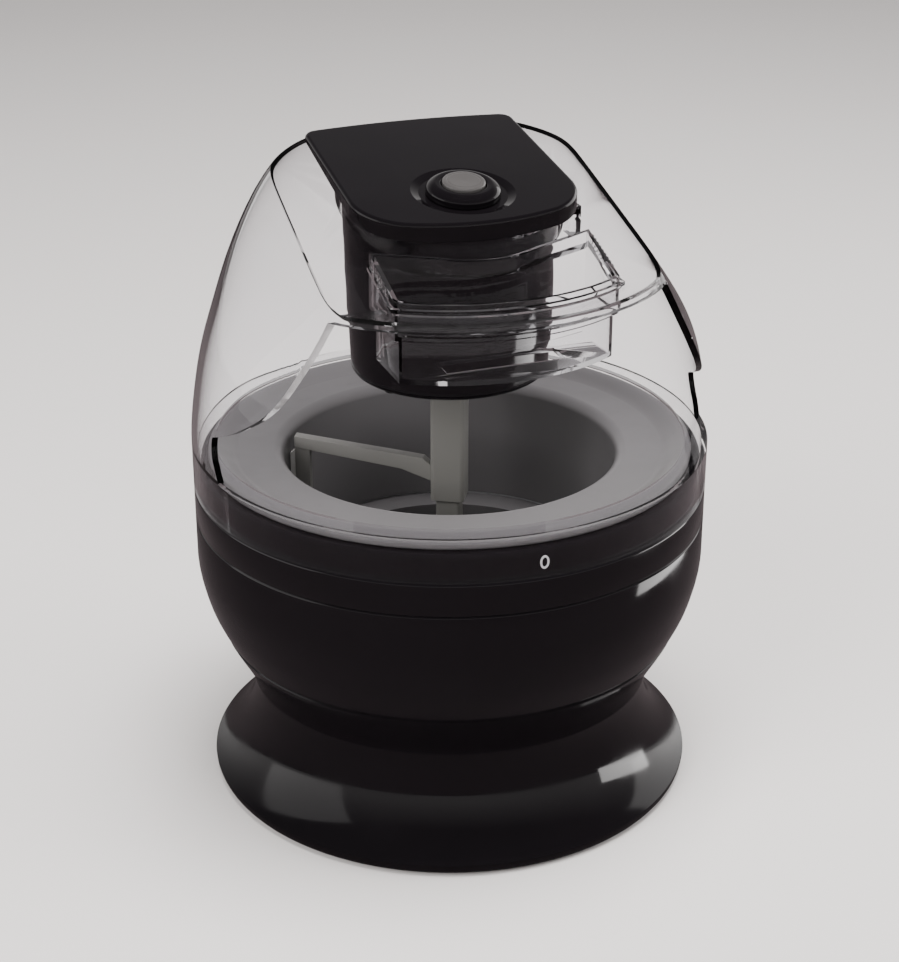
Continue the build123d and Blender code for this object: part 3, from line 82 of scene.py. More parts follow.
class NodeBench:
    """Builds one material's node tree, a node at a time."""

    def __init__(self, name: str) -> None:
        """Starts an empty material.

        Args:
            name: the material's name.
        """
        self.material = bpy.data.materials.new(name)
        self.material.use_nodes = True
        self.tree = self.material.node_tree
        self.tree.nodes.clear()
        self.place = self.add("ShaderNodeTexCoord").outputs["Object"]

    def add(self, kind: str, **settings: object) -> bpy.types.Node:
        """Adds a node.

        Args:
            kind: Blender's type name of the node.
            settings: attributes to set on it.

        Returns:
            The new node.
        """
        made = self.tree.nodes.new(kind)
        for key, value in settings.items():
            setattr(made, key, value)
        return made

    def link(self, source: Socket, target: Socket) -> None:
        """Joins two sockets.

        Args:
            source: the output that gives the value.
            target: the input that takes it.
        """
        self.tree.links.new(source, target)

    def stretched(self, scale: Sequence[float]) -> Socket:
        """Stretches the object's own coordinates.

        Args:
            scale: factor along each axis.

        Returns:
            The stretched coordinates.
        """
        mapping = self.add("ShaderNodeMapping")
        mapping.inputs["Scale"].default_value = scale
        self.link(self.place, mapping.inputs["Vector"])
        return mapping.outputs["Vector"]

    def noise(self, scale: float, detail: float, place: Socket | None = None) -> Socket:
        """Adds cloudy noise.

        Args:
            scale: waves per metre.
            detail: how many finer octaves it has.
            place: coordinates to read, or None for the object's own.

        Returns:
            The noise, from 0 to 1.
        """
        noise = self.add("ShaderNodeTexNoise")
        noise.inputs["Scale"].default_value = scale
        noise.inputs["Detail"].default_value = detail
        self.link(place or self.place, noise.inputs["Vector"])
        return noise.outputs["Fac"]

    def ranged(self, source: Socket, inside: Point, outside: Point) -> Socket:
        """Maps a value from one range to another.

        Args:
            source: the value.
            inside: the range it comes in.
            outside: the range it goes out.

        Returns:
            The mapped value.
        """
        mapped = self.add("ShaderNodeMapRange")
        low, high = inside
        new_low, new_high = outside
        mapped.inputs["From Min"].default_value = low
        mapped.inputs["From Max"].default_value = high
        mapped.inputs["To Min"].default_value = new_low
        mapped.inputs["To Max"].default_value = new_high
        self.link(source, mapped.inputs["Value"])
        return mapped.outputs["Result"]

    def blended(self, share: Socket, first: Colour, second: Colour) -> Socket:
        """Mixes two colours.

        Args:
            share: 0 for the first colour, 1 for the second.
            first: linear colour.
            second: linear colour.

        Returns:
            The mixed colour.
        """
        mix = self.add("ShaderNodeMix", data_type="RGBA")
        colours = [s for s in mix.inputs if s.type == "RGBA"]
        colours[0].default_value = (*first, 1.0)
        colours[1].default_value = (*second, 1.0)
        self.link(share, mix.inputs["Factor"])
        return next(s for s in mix.outputs if s.type == "RGBA")

    def summed(self, first: Socket, second: Socket) -> Socket:
        """Adds two values.

        Args:
            first: one value.
            second: the other.

        Returns:
            Their sum, held between 0 and 1.
        """
        added = self.add("ShaderNodeMath", operation="ADD", use_clamp=True)
        self.link(first, added.inputs[0])
        self.link(second, added.inputs[1])
        return added.outputs[0]

    def bumped(self, height: Socket, depth: float) -> Socket:
        """Turns a height into a surface direction.

        Args:
            height: the height, from 0 to 1.
            depth: metres between 0 and 1.

        Returns:
            The bent normal.
        """
        bump = self.add("ShaderNodeBump")
        bump.inputs["Strength"].default_value = 1.0
        bump.inputs["Distance"].default_value = depth
        self.link(height, bump.inputs["Height"])
        return bump.outputs["Normal"]

    def shader(self, **sockets: float) -> bpy.types.Node:
        """Adds the main shader with its uniform values.

        Args:
            sockets: values by socket name, with _ for a space.

        Returns:
            The shader node.
        """
        shader = self.add("ShaderNodeBsdfPrincipled")
        for key, value in sockets.items():
            shader.inputs[key.replace("_", " ")].default_value = value
        return shader

    def done(self, surface: Socket) -> bpy.types.Material:
        """Finishes the material.

        Args:
            surface: what it shows.

        Returns:
            The material.
        """
        output = self.add("ShaderNodeOutputMaterial")
        self.link(surface, output.inputs["Surface"])
        return self.material


class Polish(Enum):
    """How a moulded surface is polished: lowest roughness, highest roughness."""

    GLOSS = (0.07, 0.16)
    SATIN = (0.30, 0.42)
    MATT = (0.52, 0.70)


@dataclass(frozen=True)
class MouldedPlastic:
    """Moulded plastic with a faint flow in its colour, a fine skin and handling marks."""

    name: str
    colour: Colour
    polish: Polish
    flow: float = 0.12
    skin_scale: float = 900.0
    skin_depth: float = 0.000004
    waviness: float = 0.0
    marks: float = 0.05
    shine: float = 0.5
    coat: float = 0.0

    def build(self) -> bpy.types.Material:
        """Makes the material.

        Returns:
            The plastic, with its polish and skin.
        """
        bench = NodeBench(self.name)
        shader = bench.shader(Specular_IOR_Level=self.shine, Coat_Weight=self.coat, Coat_Roughness=0.03)
        dark = tuple(c * (1 - self.flow) for c in self.colour)
        light = tuple(c * (1 + self.flow) for c in self.colour)
        bench.link(bench.blended(bench.noise(26.0, 3.0), dark, light), shader.inputs["Base Color"])
        low, high = self.polish.value
        handled = bench.ranged(bench.noise(38.0, 5.0), (0.35, 0.65), (low, high))
        hairline = bench.noise(140.0, 6.0, bench.stretched((1.0, 1.0, 14.0)))
        scratched = bench.ranged(hairline, (0.62, 0.74), (0.0, self.marks))
        bench.link(bench.summed(handled, scratched), shader.inputs["Roughness"])
        height = bench.noise(self.skin_scale, 2.0)
        depth = self.skin_depth
        if self.waviness > 0:
            height = bench.noise(24.0, 1.0)
            depth = self.waviness
        bench.link(bench.bumped(height, depth), shader.inputs["Normal"])
        return bench.done(shader.outputs["BSDF"])


@dataclass(frozen=True)
class ClearPlastic:
    """Clear moulded plastic: it bends light, and lets lamps through to what is behind it."""

    name: str
    tint: Colour
    shade_tint: Colour
    ior: float = 1.27
    polish: Point = (0.0, 0.03)

    def build(self) -> bpy.types.Material:
        """Makes the material.

        Returns:
            The clear plastic.
        """
        bench = NodeBench(self.name)
        shader = bench.shader(Transmission_Weight=1.0, IOR=self.ior)
        deep = tuple(c * 0.97 for c in self.tint)
        bench.link(bench.blended(bench.noise(18.0, 2.0), deep, self.tint), shader.inputs["Base Color"])
        rough = bench.ranged(bench.noise(60.0, 4.0), (0.4, 0.7), self.polish)
        bench.link(rough, shader.inputs["Roughness"])
        bench.link(bench.bumped(bench.noise(12.0, 1.0), 0.00002), shader.inputs["Normal"])
        shade = bench.add("ShaderNodeBsdfTransparent")
        shade.inputs["Color"].default_value = (*self.shade_tint, 1.0)
        path = bench.add("ShaderNodeLightPath")
        mix = bench.add("ShaderNodeMixShader")
        bench.link(path.outputs["Is Shadow Ray"], mix.inputs["Fac"])
        bench.link(shader.outputs["BSDF"], mix.inputs[1])
        bench.link(shade.outputs["BSDF"], mix.inputs[2])
        return bench.done(mix.outputs["Shader"])


@dataclass(frozen=True)
class WorkedMetal:
    """Metal with a drawn, stamped or sintered grain."""

    name: str
    colour: Colour
    roughness: Point
    grain: Sequence[float] = (1.0, 1.0, 1.0)
    grain_scale: float = 400.0
    grain_depth: float = 0.000012
    tarnish: float = 0.25

    def build(self) -> bpy.types.Material:
        """Makes the material.

        Returns:
            The metal, with its grain and a little tarnish.
        """
        bench = NodeBench(self.name)
        shader = bench.shader(Metallic=1.0)
        dull = tuple(c * (1 - self.tarnish) for c in self.colour)
        stains = bench.ranged(bench.noise(90.0, 5.0), (0.35, 0.7), (0.0, 1.0))
        bench.link(bench.blended(stains, self.colour, dull), shader.inputs["Base Color"])
        grain = bench.noise(self.grain_scale, 4.0, bench.stretched(self.grain))
        bench.link(bench.ranged(grain, (0.3, 0.7), self.roughness), shader.inputs["Roughness"])
        bench.link(bench.bumped(grain, self.grain_depth), shader.inputs["Normal"])
        return bench.done(shader.outputs["BSDF"])


@dataclass(frozen=True)
class BandedMetal:
    """Stacked sheets or wound wire: narrow bands with dark lines between them."""

    name: str
    colour: Colour
    gap: Colour
    pitch: float
    roughness: Point
    metallic: float = 1.0
    wave: float = 0.6

    def build(self) -> bpy.types.Material:
        """Makes the material.

        Returns:
            The banded metal.
        """
        bench = NodeBench(self.name)
        shader = bench.shader(Metallic=self.metallic)
        bands = bench.add("ShaderNodeTexWave", wave_type="BANDS", bands_direction="Z", wave_profile="SIN")
        bands.inputs["Scale"].default_value = math.pi / (10.0 * self.pitch)
        bands.inputs["Distortion"].default_value = self.wave
        bands.inputs["Detail Scale"].default_value = 3.0
        bench.link(bench.place, bands.inputs["Vector"])
        line = bands.outputs["Fac"]
        bench.link(bench.blended(line, self.gap, self.colour), shader.inputs["Base Color"])
        rough = bench.ranged(bench.noise(120.0, 4.0), (0.3, 0.7), self.roughness)
        bench.link(rough, shader.inputs["Roughness"])
        bench.link(bench.bumped(line, 0.00012), shader.inputs["Normal"])
        return bench.done(shader.outputs["BSDF"])


@dataclass(frozen=True)
class SoftRubber:
    """Matt rubber or silicone with a dusty bloom."""

    name: str
    colour: Colour
    bloom: Colour
    roughness: Point = (0.6, 0.85)

    def build(self) -> bpy.types.Material:
        """Makes the material.

        Returns:
            The rubber.
        """
        bench = NodeBench(self.name)
        shader = bench.shader(Specular_IOR_Level=0.3)
        dust = bench.ranged(bench.noise(160.0, 6.0), (0.45, 0.8), (0.0, 0.5))
        bench.link(bench.blended(dust, self.colour, self.bloom), shader.inputs["Base Color"])
        rough = bench.ranged(bench.noise(220.0, 3.0), (0.3, 0.7), self.roughness)
        bench.link(rough, shader.inputs["Roughness"])
        bench.link(bench.bumped(bench.noise(1400.0, 3.0), 0.00002), shader.inputs["Normal"])
        return bench.done(shader.outputs["BSDF"])


@dataclass(frozen=True)
class FrozenGel:
    """Pale blue freezing gel, cloudy with fine ice."""

    name: str
    colour: Colour
    frost: Colour

    def build(self) -> bpy.types.Material:
        """Makes the material.

        Returns:
            The gel.
        """
        bench = NodeBench(self.name)
        shader = bench.shader(Subsurface_Weight=0.3, Subsurface_Scale=0.006)
        cloud = bench.ranged(bench.noise(130.0, 8.0), (0.4, 0.68), (0.0, 1.0))
        bench.link(bench.blended(cloud, self.colour, self.frost), shader.inputs["Base Color"])
        bench.link(bench.ranged(cloud, (0.0, 1.0), (0.18, 0.5)), shader.inputs["Roughness"])
        bench.link(bench.bumped(cloud, 0.00015), shader.inputs["Normal"])
        return bench.done(shader.outputs["BSDF"])


FINISHES = {
    "gloss_black": MouldedPlastic(
        "gloss_black", (0.0042, 0.0034, 0.0042), Polish.GLOSS, skin_depth=0.0000006, waviness=0.00004,
        shine=0.26,
    ),
    "inner_black": MouldedPlastic("inner_black", (0.022, 0.022, 0.024), Polish.SATIN, skin_depth=0.00001),
    "rubber": SoftRubber("rubber", (0.018, 0.018, 0.018), (0.06, 0.058, 0.055)),
    "steel": WorkedMetal("steel", (0.62, 0.62, 0.63), (0.18, 0.34)),
    "mark_white": MouldedPlastic("mark_white", (0.62, 0.62, 0.62), Polish.SATIN, flow=0.05),
    "canister_grey": MouldedPlastic(
        "canister_grey", (0.125, 0.121, 0.122), Polish.SATIN, flow=0.05, shine=0.4,
    ),
    "canister_black": MouldedPlastic("canister_black", (0.016, 0.015, 0.017), Polish.SATIN),
    "gel": FrozenGel("gel", (0.30, 0.46, 0.62), (0.66, 0.76, 0.84)),
    "seal_grey": SoftRubber("seal_grey", (0.33, 0.33, 0.34), (0.48, 0.48, 0.48)),
    "clear_plastic": ClearPlastic("clear_plastic", (0.982, 0.978, 0.99), (0.92, 0.915, 0.93)),
    "button_silver": MouldedPlastic(
        "button_silver", (0.06, 0.057, 0.056), Polish.SATIN, flow=0.06, skin_scale=2600.0,
        skin_depth=0.000006, coat=0.1,
    ),
    "switch_plastic": MouldedPlastic("switch_plastic", (0.05, 0.05, 0.055), Polish.MATT),
    "bronze": WorkedMetal("bronze", (0.55, 0.37, 0.18), (0.35, 0.55), grain_scale=1800.0, tarnish=0.35),
    "lamination": BandedMetal("lamination", (0.24, 0.25, 0.27), (0.05, 0.05, 0.055), 0.0005, (0.35, 0.5)),
    "copper": BandedMetal("copper", (0.70, 0.27, 0.12), (0.22, 0.06, 0.03), 0.0008, (0.22, 0.36), wave=1.2),
    "gear_nylon": MouldedPlastic("gear_nylon", (0.66, 0.64, 0.56), Polish.SATIN, flow=0.06),
    "paddle_grey": MouldedPlastic("paddle_grey", (0.19, 0.188, 0.175), Polish.SATIN, flow=0.07, shine=0.45),
    "strip_grey": SoftRubber("strip_grey", (0.38, 0.375, 0.355), (0.5, 0.5, 0.48)),
}


class Wardrobe:
    """Makes each finish once and puts it on pieces."""

    def __init__(self) -> None:
        """Starts with nothing made."""
        self.made: dict[str, bpy.types.Material] = {}

    def finish(self, slot: str) -> bpy.types.Material:
        """Gives one finish.

        Args:
            slot: the record's name of the finish.

        Returns:
            Its material, made the first time it is asked for.
        """
        if slot not in self.made:
            self.made[slot] = FINISHES[slot].build()
        return self.made[slot]

    def dress_node(self, name: str, slot: str) -> None:
        """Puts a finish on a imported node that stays.

        Args:
            name: the node.
            slot: its finish.
        """
        for holder in frame["nodes"][name].material_slots:
            holder.material = self.finish(slot)
        log.info("dressed %s in %s", name, slot)

    def dress_piece(self, piece: bpy.types.Object, slot: str) -> None:
        """Puts a finish on a new piece.

        Args:
            piece: the piece.
            slot: its finish.
        """
        piece.data.materials.clear()
        piece.data.materials.append(self.finish(slot))


WARDROBE = Wardrobe()


# ---------------------------------------------------------------- studio
class Role(Enum):
    """What a lamp is there for."""

    FILL = "lights the matt surfaces and isn't mirrored"
    SHEEN = "is mirrored by glossy surfaces and lights nothing else"


@dataclass
class Studio:
    """Plain pale floor, soft lamps and the camera."""

    azimuth: float = -20.0
    elevation: float = 24.3
    distance: float = 0.93
    lens: float = 76.0
    aim_height: float = 0.139
    lamp_tint: Colour = (1.0, 0.98, 0.97)
    floor_size: float = 14.0
    floor_colour: Colour = (0.83, 0.805, 0.79)
    # painted reflection: the dark colour the floor shows to glossy surfaces in place of its own pale colour
    painted_floor_reflection: Colour = (0.10, 0.085, 0.088)

    def lay_floor(self) -> None:
        """Lays the floor, painted dark where glossy surfaces mirror it."""
        clear_selection()
        bpy.ops.mesh.primitive_plane_add(size=self.floor_size, location=(0, 0, 0))
        floor = bpy.context.active_object
        floor.name = "studio_floor"
        bench = NodeBench("studio_paper")
        shader = bench.shader(Specular_IOR_Level=0.2)
        paper = tuple(c * 0.985 for c in self.floor_colour)
        colour = bench.blended(bench.noise(3.0, 3.0), paper, self.floor_colour)
        bench.link(colour, shader.inputs["Base Color"])
        rough = bench.ranged(bench.noise(300.0, 2.0), (0.3, 0.7), (0.8, 0.95))
        bench.link(rough, shader.inputs["Roughness"])
        # painted reflection: glossy rays see this dark floor instead of the pale one, so the black plastic
        # mirrors darkness
        dark = bench.shader(Specular_IOR_Level=0.0)
        dark.inputs["Base Color"].default_value = (*self.painted_floor_reflection, 1.0)
        path = bench.add("ShaderNodeLightPath")
        mix = bench.add("ShaderNodeMixShader")
        mirrored = bench.ranged(path.outputs["Glossy Depth"], (0.0, 1.0), (0.0, 1.0))
        bench.link(mirrored, mix.inputs["Fac"])
        bench.link(shader.outputs["BSDF"], mix.inputs[1])
        bench.link(dark.outputs["BSDF"], mix.inputs[2])
        floor.data.materials.append(bench.done(mix.outputs["Shader"]))

    def fill_sky(self) -> None:
        """Surrounds the machine with a pale horizon that darkens overhead."""
        world = bpy.data.worlds.new("studio_world")
        bpy.context.scene.world = world
        world.use_nodes = True
        tree = world.node_tree
        tree.nodes.clear()
        place = tree.nodes.new("ShaderNodeTexCoord")
        split = tree.nodes.new("ShaderNodeSeparateXYZ")
        ramp = tree.nodes.new("ShaderNodeValToRGB")
        sky = tree.nodes.new("ShaderNodeBackground")
        output = tree.nodes.new("ShaderNodeOutputWorld")
        stops = ramp.color_ramp.elements
        stops[0].position, stops[0].color = 0.12, (0.92, 0.89, 0.88, 1)
        stops[1].position, stops[1].color = 0.62, (0.13, 0.125, 0.13, 1)
        tree.links.new(place.outputs["Generated"], split.inputs["Vector"])
        tree.links.new(split.outputs["Z"], ramp.inputs["Fac"])
        tree.links.new(ramp.outputs["Color"], sky.inputs["Color"])
        tree.links.new(sky.outputs["Background"], output.inputs["Surface"])

    def hang_lamp(self, name: str, place: Sequence[float], size: Point, power: float, role: Role) -> None:
        """Hangs one softbox that faces the machine.

        Args:
            name: the lamp's name.
            place: where it hangs, in metres.
            size: its width and height in metres.
            power: watts.
            role: what it is there for.
        """
        clear_selection()
        bpy.ops.object.light_add(type="AREA", location=place)
        lamp = bpy.context.active_object
        lamp.name = name
        lamp.data.shape = "RECTANGLE"
        lamp.data.size, lamp.data.size_y = size
        lamp.data.energy = power
        lamp.data.color = self.lamp_tint
        lamp.visible_glossy = role is Role.SHEEN
        lamp.visible_diffuse = role is Role.FILL
        lamp.visible_transmission = False
        aim = Vector((0, 0, self.aim_height)) - Vector(place)
        lamp.rotation_euler = aim.to_track_quat("-Z", "Y").to_euler()

    def light(self) -> None:
        """Hangs the lamps."""
        self.hang_lamp("softbox_right", (1.3, -0.5, 0.8), (0.8, 0.9), 14.0, Role.FILL)
        self.hang_lamp("softbox_left", (-1.35, -0.75, 1.05), (1.0, 1.2), 30.0, Role.FILL)
        self.hang_lamp("softbox_top", (0.15, -0.15, 1.9), (1.3, 1.0), 60.0, Role.FILL)
        self.hang_lamp("tall_card", (0.44, -0.13, 0.055), (0.26, 0.09), 0.8, Role.SHEEN)
        self.hang_lamp("side_card_left", (-1.0, 0.15, 0.4), (0.9, 0.7), 2.6, Role.SHEEN)
        self.hang_lamp("side_card_right", (1.0, 0.3, 0.4), (0.9, 0.7), 4.2, Role.SHEEN)

    def place_camera(self) -> None:
        """Sets up the camera."""
        turn = math.radians(self.azimuth)
        rise = math.radians(self.elevation)
        back = Vector((math.sin(turn) * math.cos(rise), -math.cos(turn) * math.cos(rise), math.sin(rise)))
        clear_selection()
        bpy.ops.object.camera_add(location=Vector((0, 0, self.aim_height)) + back * self.distance)
        camera = bpy.context.active_object
        camera.data.lens = self.lens
        camera.data.sensor_width = 36.0
        camera.data.clip_start = 0.02
        camera.rotation_euler = (-back).to_track_quat("-Z", "Y").to_euler()
        bpy.context.scene.camera = camera

    def build(self) -> None:
        """Builds the whole studio."""
        self.lay_floor()
        self.fill_sky()
        self.light()
        self.place_camera()
        log.info("studio ready")


# ---------------------------------------------------------------- hand modelling
def clear_selection() -> None:
    """Leaves edit mode and deselects every object, so that an operator acts on the new piece alone."""
    if bpy.context.mode != "OBJECT":
        bpy.ops.object.mode_set(mode="OBJECT")
    bpy.ops.object.select_all(action="DESELECT")


def pick(piece: bpy.types.Object) -> None:
    """Selects one object alone and makes it the active one.

    Args:
        piece: the object.
    """
    clear_selection()
    piece.select_set(True)
    bpy.context.view_layer.objects.active = piece


class Outline:
    """Half section of a turned piece, drawn point by point as (radius, height) in millimetres."""

    def __init__(self, radius: float, height: float) -> None:
        """Starts the outline.

        Args:
            radius: distance from the axis.
            height: distance above the worktop.
        """
        self.points: list[Point] = [(radius, height)]

    def to(self, radius: float, height: float) -> "Outline":
        """Draws a straight line.

        Args:
            radius: end of the line.
            height: end of the line.

        Returns:
            The outline.
        """
        self.points.append((radius, height))
        return self

    def swing(
        self, radius: float, height: float, leave: Point, arrive: Point, count: int
    ) -> "Outline":
        """Draws a smooth curve.

        Args:
            radius: end of the curve.
            height: end of the curve.
            leave: direction and strength at its start.
            arrive: direction and strength at its end.
            count: how many points it has.

        Returns:
            The outline.
        """
        start_r, start_z = self.points[-1]
        for step in range(1, count + 1):
            t = step / count
            a = 2 * t ** 3 - 3 * t ** 2 + 1
            b = t ** 3 - 2 * t ** 2 + t
            c = 3 * t ** 2 - 2 * t ** 3
            d = t ** 3 - t ** 2
            r = a * start_r + b * leave[0] + c * radius + d * arrive[0]
            z = a * start_z + b * leave[1] + c * height + d * arrive[1]
            self.points.append((r, z))
        return self

    def through(self, knots: Sequence[Point], leave: Point, arrive: Point, count: int) -> "Outline":
        """Draws a smooth curve through several points.

        Args:
            knots: the points, the first of them already drawn.
            leave: direction at the first.
            arrive: direction at the last.
            count: how many points lie on each stretch.

        Returns:
            The outline.
        """
        chords = [(after[0] - before[0], after[1] - before[1]) for before, after in zip(knots, knots[2:])]
        ways = [Vector(way).normalized() for way in (leave, *chords, arrive)]
        for here, there, start, end in zip(knots, knots[1:], ways, ways[1:]):
            length = math.dist(here, there)
            self.swing(*there, tuple(start * length), tuple(end * length), count)
        return self

    def bend(self, centre: Point, start: float, end: float, radius: float, count: int = 10) -> "Outline":
        """Draws an arc.

        Args:
            centre: its centre.
            start: angle of its first point in degrees, from the radius direction.
            end: angle of its last point.
            radius: its radius.
            count: how many points it has.

        Returns:
            The outline.
        """
        for step in range(count + 1):
            angle = math.radians(start + (end - start) * step / count)
            self.points.append((centre[0] + radius * math.cos(angle), centre[1] + radius * math.sin(angle)))
        return self


def apply_place(piece: bpy.types.Object) -> None:
    """Moves a piece's place and turn into its mesh.

    Args:
        piece: the piece, alone in the selection.
    """
    pick(piece)
    bpy.ops.object.transform_apply(location=True, rotation=True, scale=True)


def draw_chain(name: str, points: Sequence[Sequence[float]]) -> bpy.types.Object:
    """Draws a closed chain of edges by extruding one point from place to place.

    Args:
        name: the new object's name.
        points: the corners in millimetres.

    Returns:
        The object, in edit mode, all selected.
    """
    corners = [Vector(p) * MM for p in points]
    clear_selection()
    bpy.ops.mesh.primitive_plane_add(size=MM, location=corners[0])
    piece = bpy.context.active_object
    piece.name = name
    bpy.ops.object.transform_apply(location=True)
    bpy.ops.object.mode_set(mode="EDIT")
    bpy.ops.mesh.select_all(action="SELECT")
    bpy.ops.mesh.merge(type="CENTER")
    for here, there in zip(corners, corners[1:] + corners[:1]):
        bpy.ops.mesh.extrude_vertices_move(TRANSFORM_OT_translate={"value": there - here})
    bpy.ops.mesh.select_all(action="SELECT")
    bpy.ops.mesh.remove_doubles(threshold=MERGE)
    bpy.ops.mesh.select_all(action="SELECT")
    return piece


def close_up(piece: bpy.types.Object) -> bpy.types.Object:
    """Merges doubles, points the faces outwards and leaves edit mode.

    Args:
        piece: the piece, in edit mode.

    Returns:
        The piece.
    """
    bpy.ops.mesh.select_all(action="SELECT")
    bpy.ops.mesh.remove_doubles(threshold=MERGE)
    bpy.ops.mesh.normals_make_consistent(inside=False)
    bpy.ops.object.mode_set(mode="OBJECT")
    return piece


def spun(name: str, outline: Outline, steps: int = SPIN_STEPS) -> bpy.types.Object:
    """Turns a closed outline about the Z axis.

    Args:
        name: the new piece's name.
        outline: its half section.
        steps: how many facets the turn has.

    Returns:
        The turned piece.
    """
    piece = draw_chain(name, [(r, 0.0, z) for r, z in outline.points])
    bpy.ops.mesh.spin(steps=steps, angle=math.tau, center=(0, 0, 0), axis=(0, 0, 1))
    return close_up(piece)


def prism(name: str, corners: Sequence[Sequence[float]], reach: Sequence[float]) -> bpy.types.Object:
    """Draws a flat outline and extrudes it.

    Args:
        name: the new piece's name.
        corners: the outline's corners in millimetres.
        reach: how far and which way it is extruded, in millimetres.

    Returns:
        The solid.
    """
    piece = draw_chain(name, corners)
    bpy.ops.mesh.edge_face_add()
    bpy.ops.mesh.extrude_region_move(TRANSFORM_OT_translate={"value": Vector(reach) * MM})
    return close_up(piece)


class Join(Enum):
    """How one solid works on another."""

    CUT = "DIFFERENCE"
    ADD = "UNION"


def worked(piece: bpy.types.Object, tool: bpy.types.Object, how: Join) -> bpy.types.Object:
    """Cuts one solid with another or joins it on, and clears the tool away.

    Args:
        piece: the solid that stays.
        tool: the solid that works on it.
        how: cut or add.

    Returns:
        The piece.
    """
    pick(piece)
    bpy.ops.object.modifier_add(type="BOOLEAN")
    modifier = piece.modifiers[-1]
    modifier.operation = how.value
    modifier.solver = "EXACT"
    modifier.object = tool
    bpy.ops.object.modifier_apply(modifier=modifier.name)
    bpy.data.objects.remove(tool)
    return piece


def eased(
    piece: bpy.types.Object, width: float, segments: int = 3, angle: float = 35.0
) -> bpy.types.Object:
    """Rounds a piece's sharp edges and shades the rest smooth.

    Args:
        piece: the piece.
        width: width of the rounding in millimetres.
        segments: how many facets it has.
        angle: edges sharper than this are rounded, in degrees.

    Returns:
        The piece.
    """
    pick(piece)
    if width > 0:
        bpy.ops.object.modifier_add(type="BEVEL")
        modifier = piece.modifiers[-1]
        modifier.width = width * MM
        modifier.segments = segments
        modifier.limit_method = "ANGLE"
        modifier.angle_limit = math.radians(angle)
        modifier.use_clamp_overlap = True
        modifier.harden_normals = False
        bpy.ops.object.modifier_apply(modifier=modifier.name)
    bpy.ops.object.shade_smooth_by_angle(angle=math.radians(angle))
    return piece


def merged_copy(node: str, name: str) -> bpy.types.Object:
    """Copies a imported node, merges its loose triangles and clears away edges on flat faces.

    Args:
        node: the node.
        name: the new piece's name.

    Returns:
        The copy.
    """
    clear_selection()
    piece = frame["nodes"][node].copy()
    piece.data = piece.data.copy()
    piece.name = name
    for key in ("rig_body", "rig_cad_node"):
        del piece[key]
    piece.parent = None
    bpy.context.scene.collection.objects.link(piece)
    piece.select_set(True)
    bpy.context.view_layer.objects.active = piece
    bpy.ops.mesh.customdata_custom_splitnormals_clear()
    bpy.ops.object.mode_set(mode="EDIT")
    bpy.ops.mesh.select_all(action="SELECT")
    bpy.ops.mesh.remove_doubles(threshold=MERGE)
    bpy.ops.mesh.dissolve_limited(angle_limit=math.radians(0.4))
    bpy.ops.object.mode_set(mode="OBJECT")
    return piece


def placed(piece: bpy.types.Object, body: str, slot: str, *nodes: str) -> bpy.types.Object:
    """Dresses a finished piece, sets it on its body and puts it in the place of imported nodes.

    Args:
        piece: the piece.
        body: the body that carries it.
        slot: its finish.
        nodes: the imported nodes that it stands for.

    Returns:
        The piece.
    """
    WARDROBE.dress_piece(piece, slot)
    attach(piece, body)
    if nodes:
        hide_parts(*nodes)
    log.info("%s rides on %s, %d faces", piece.name, body, len(piece.data.polygons))
    return piece


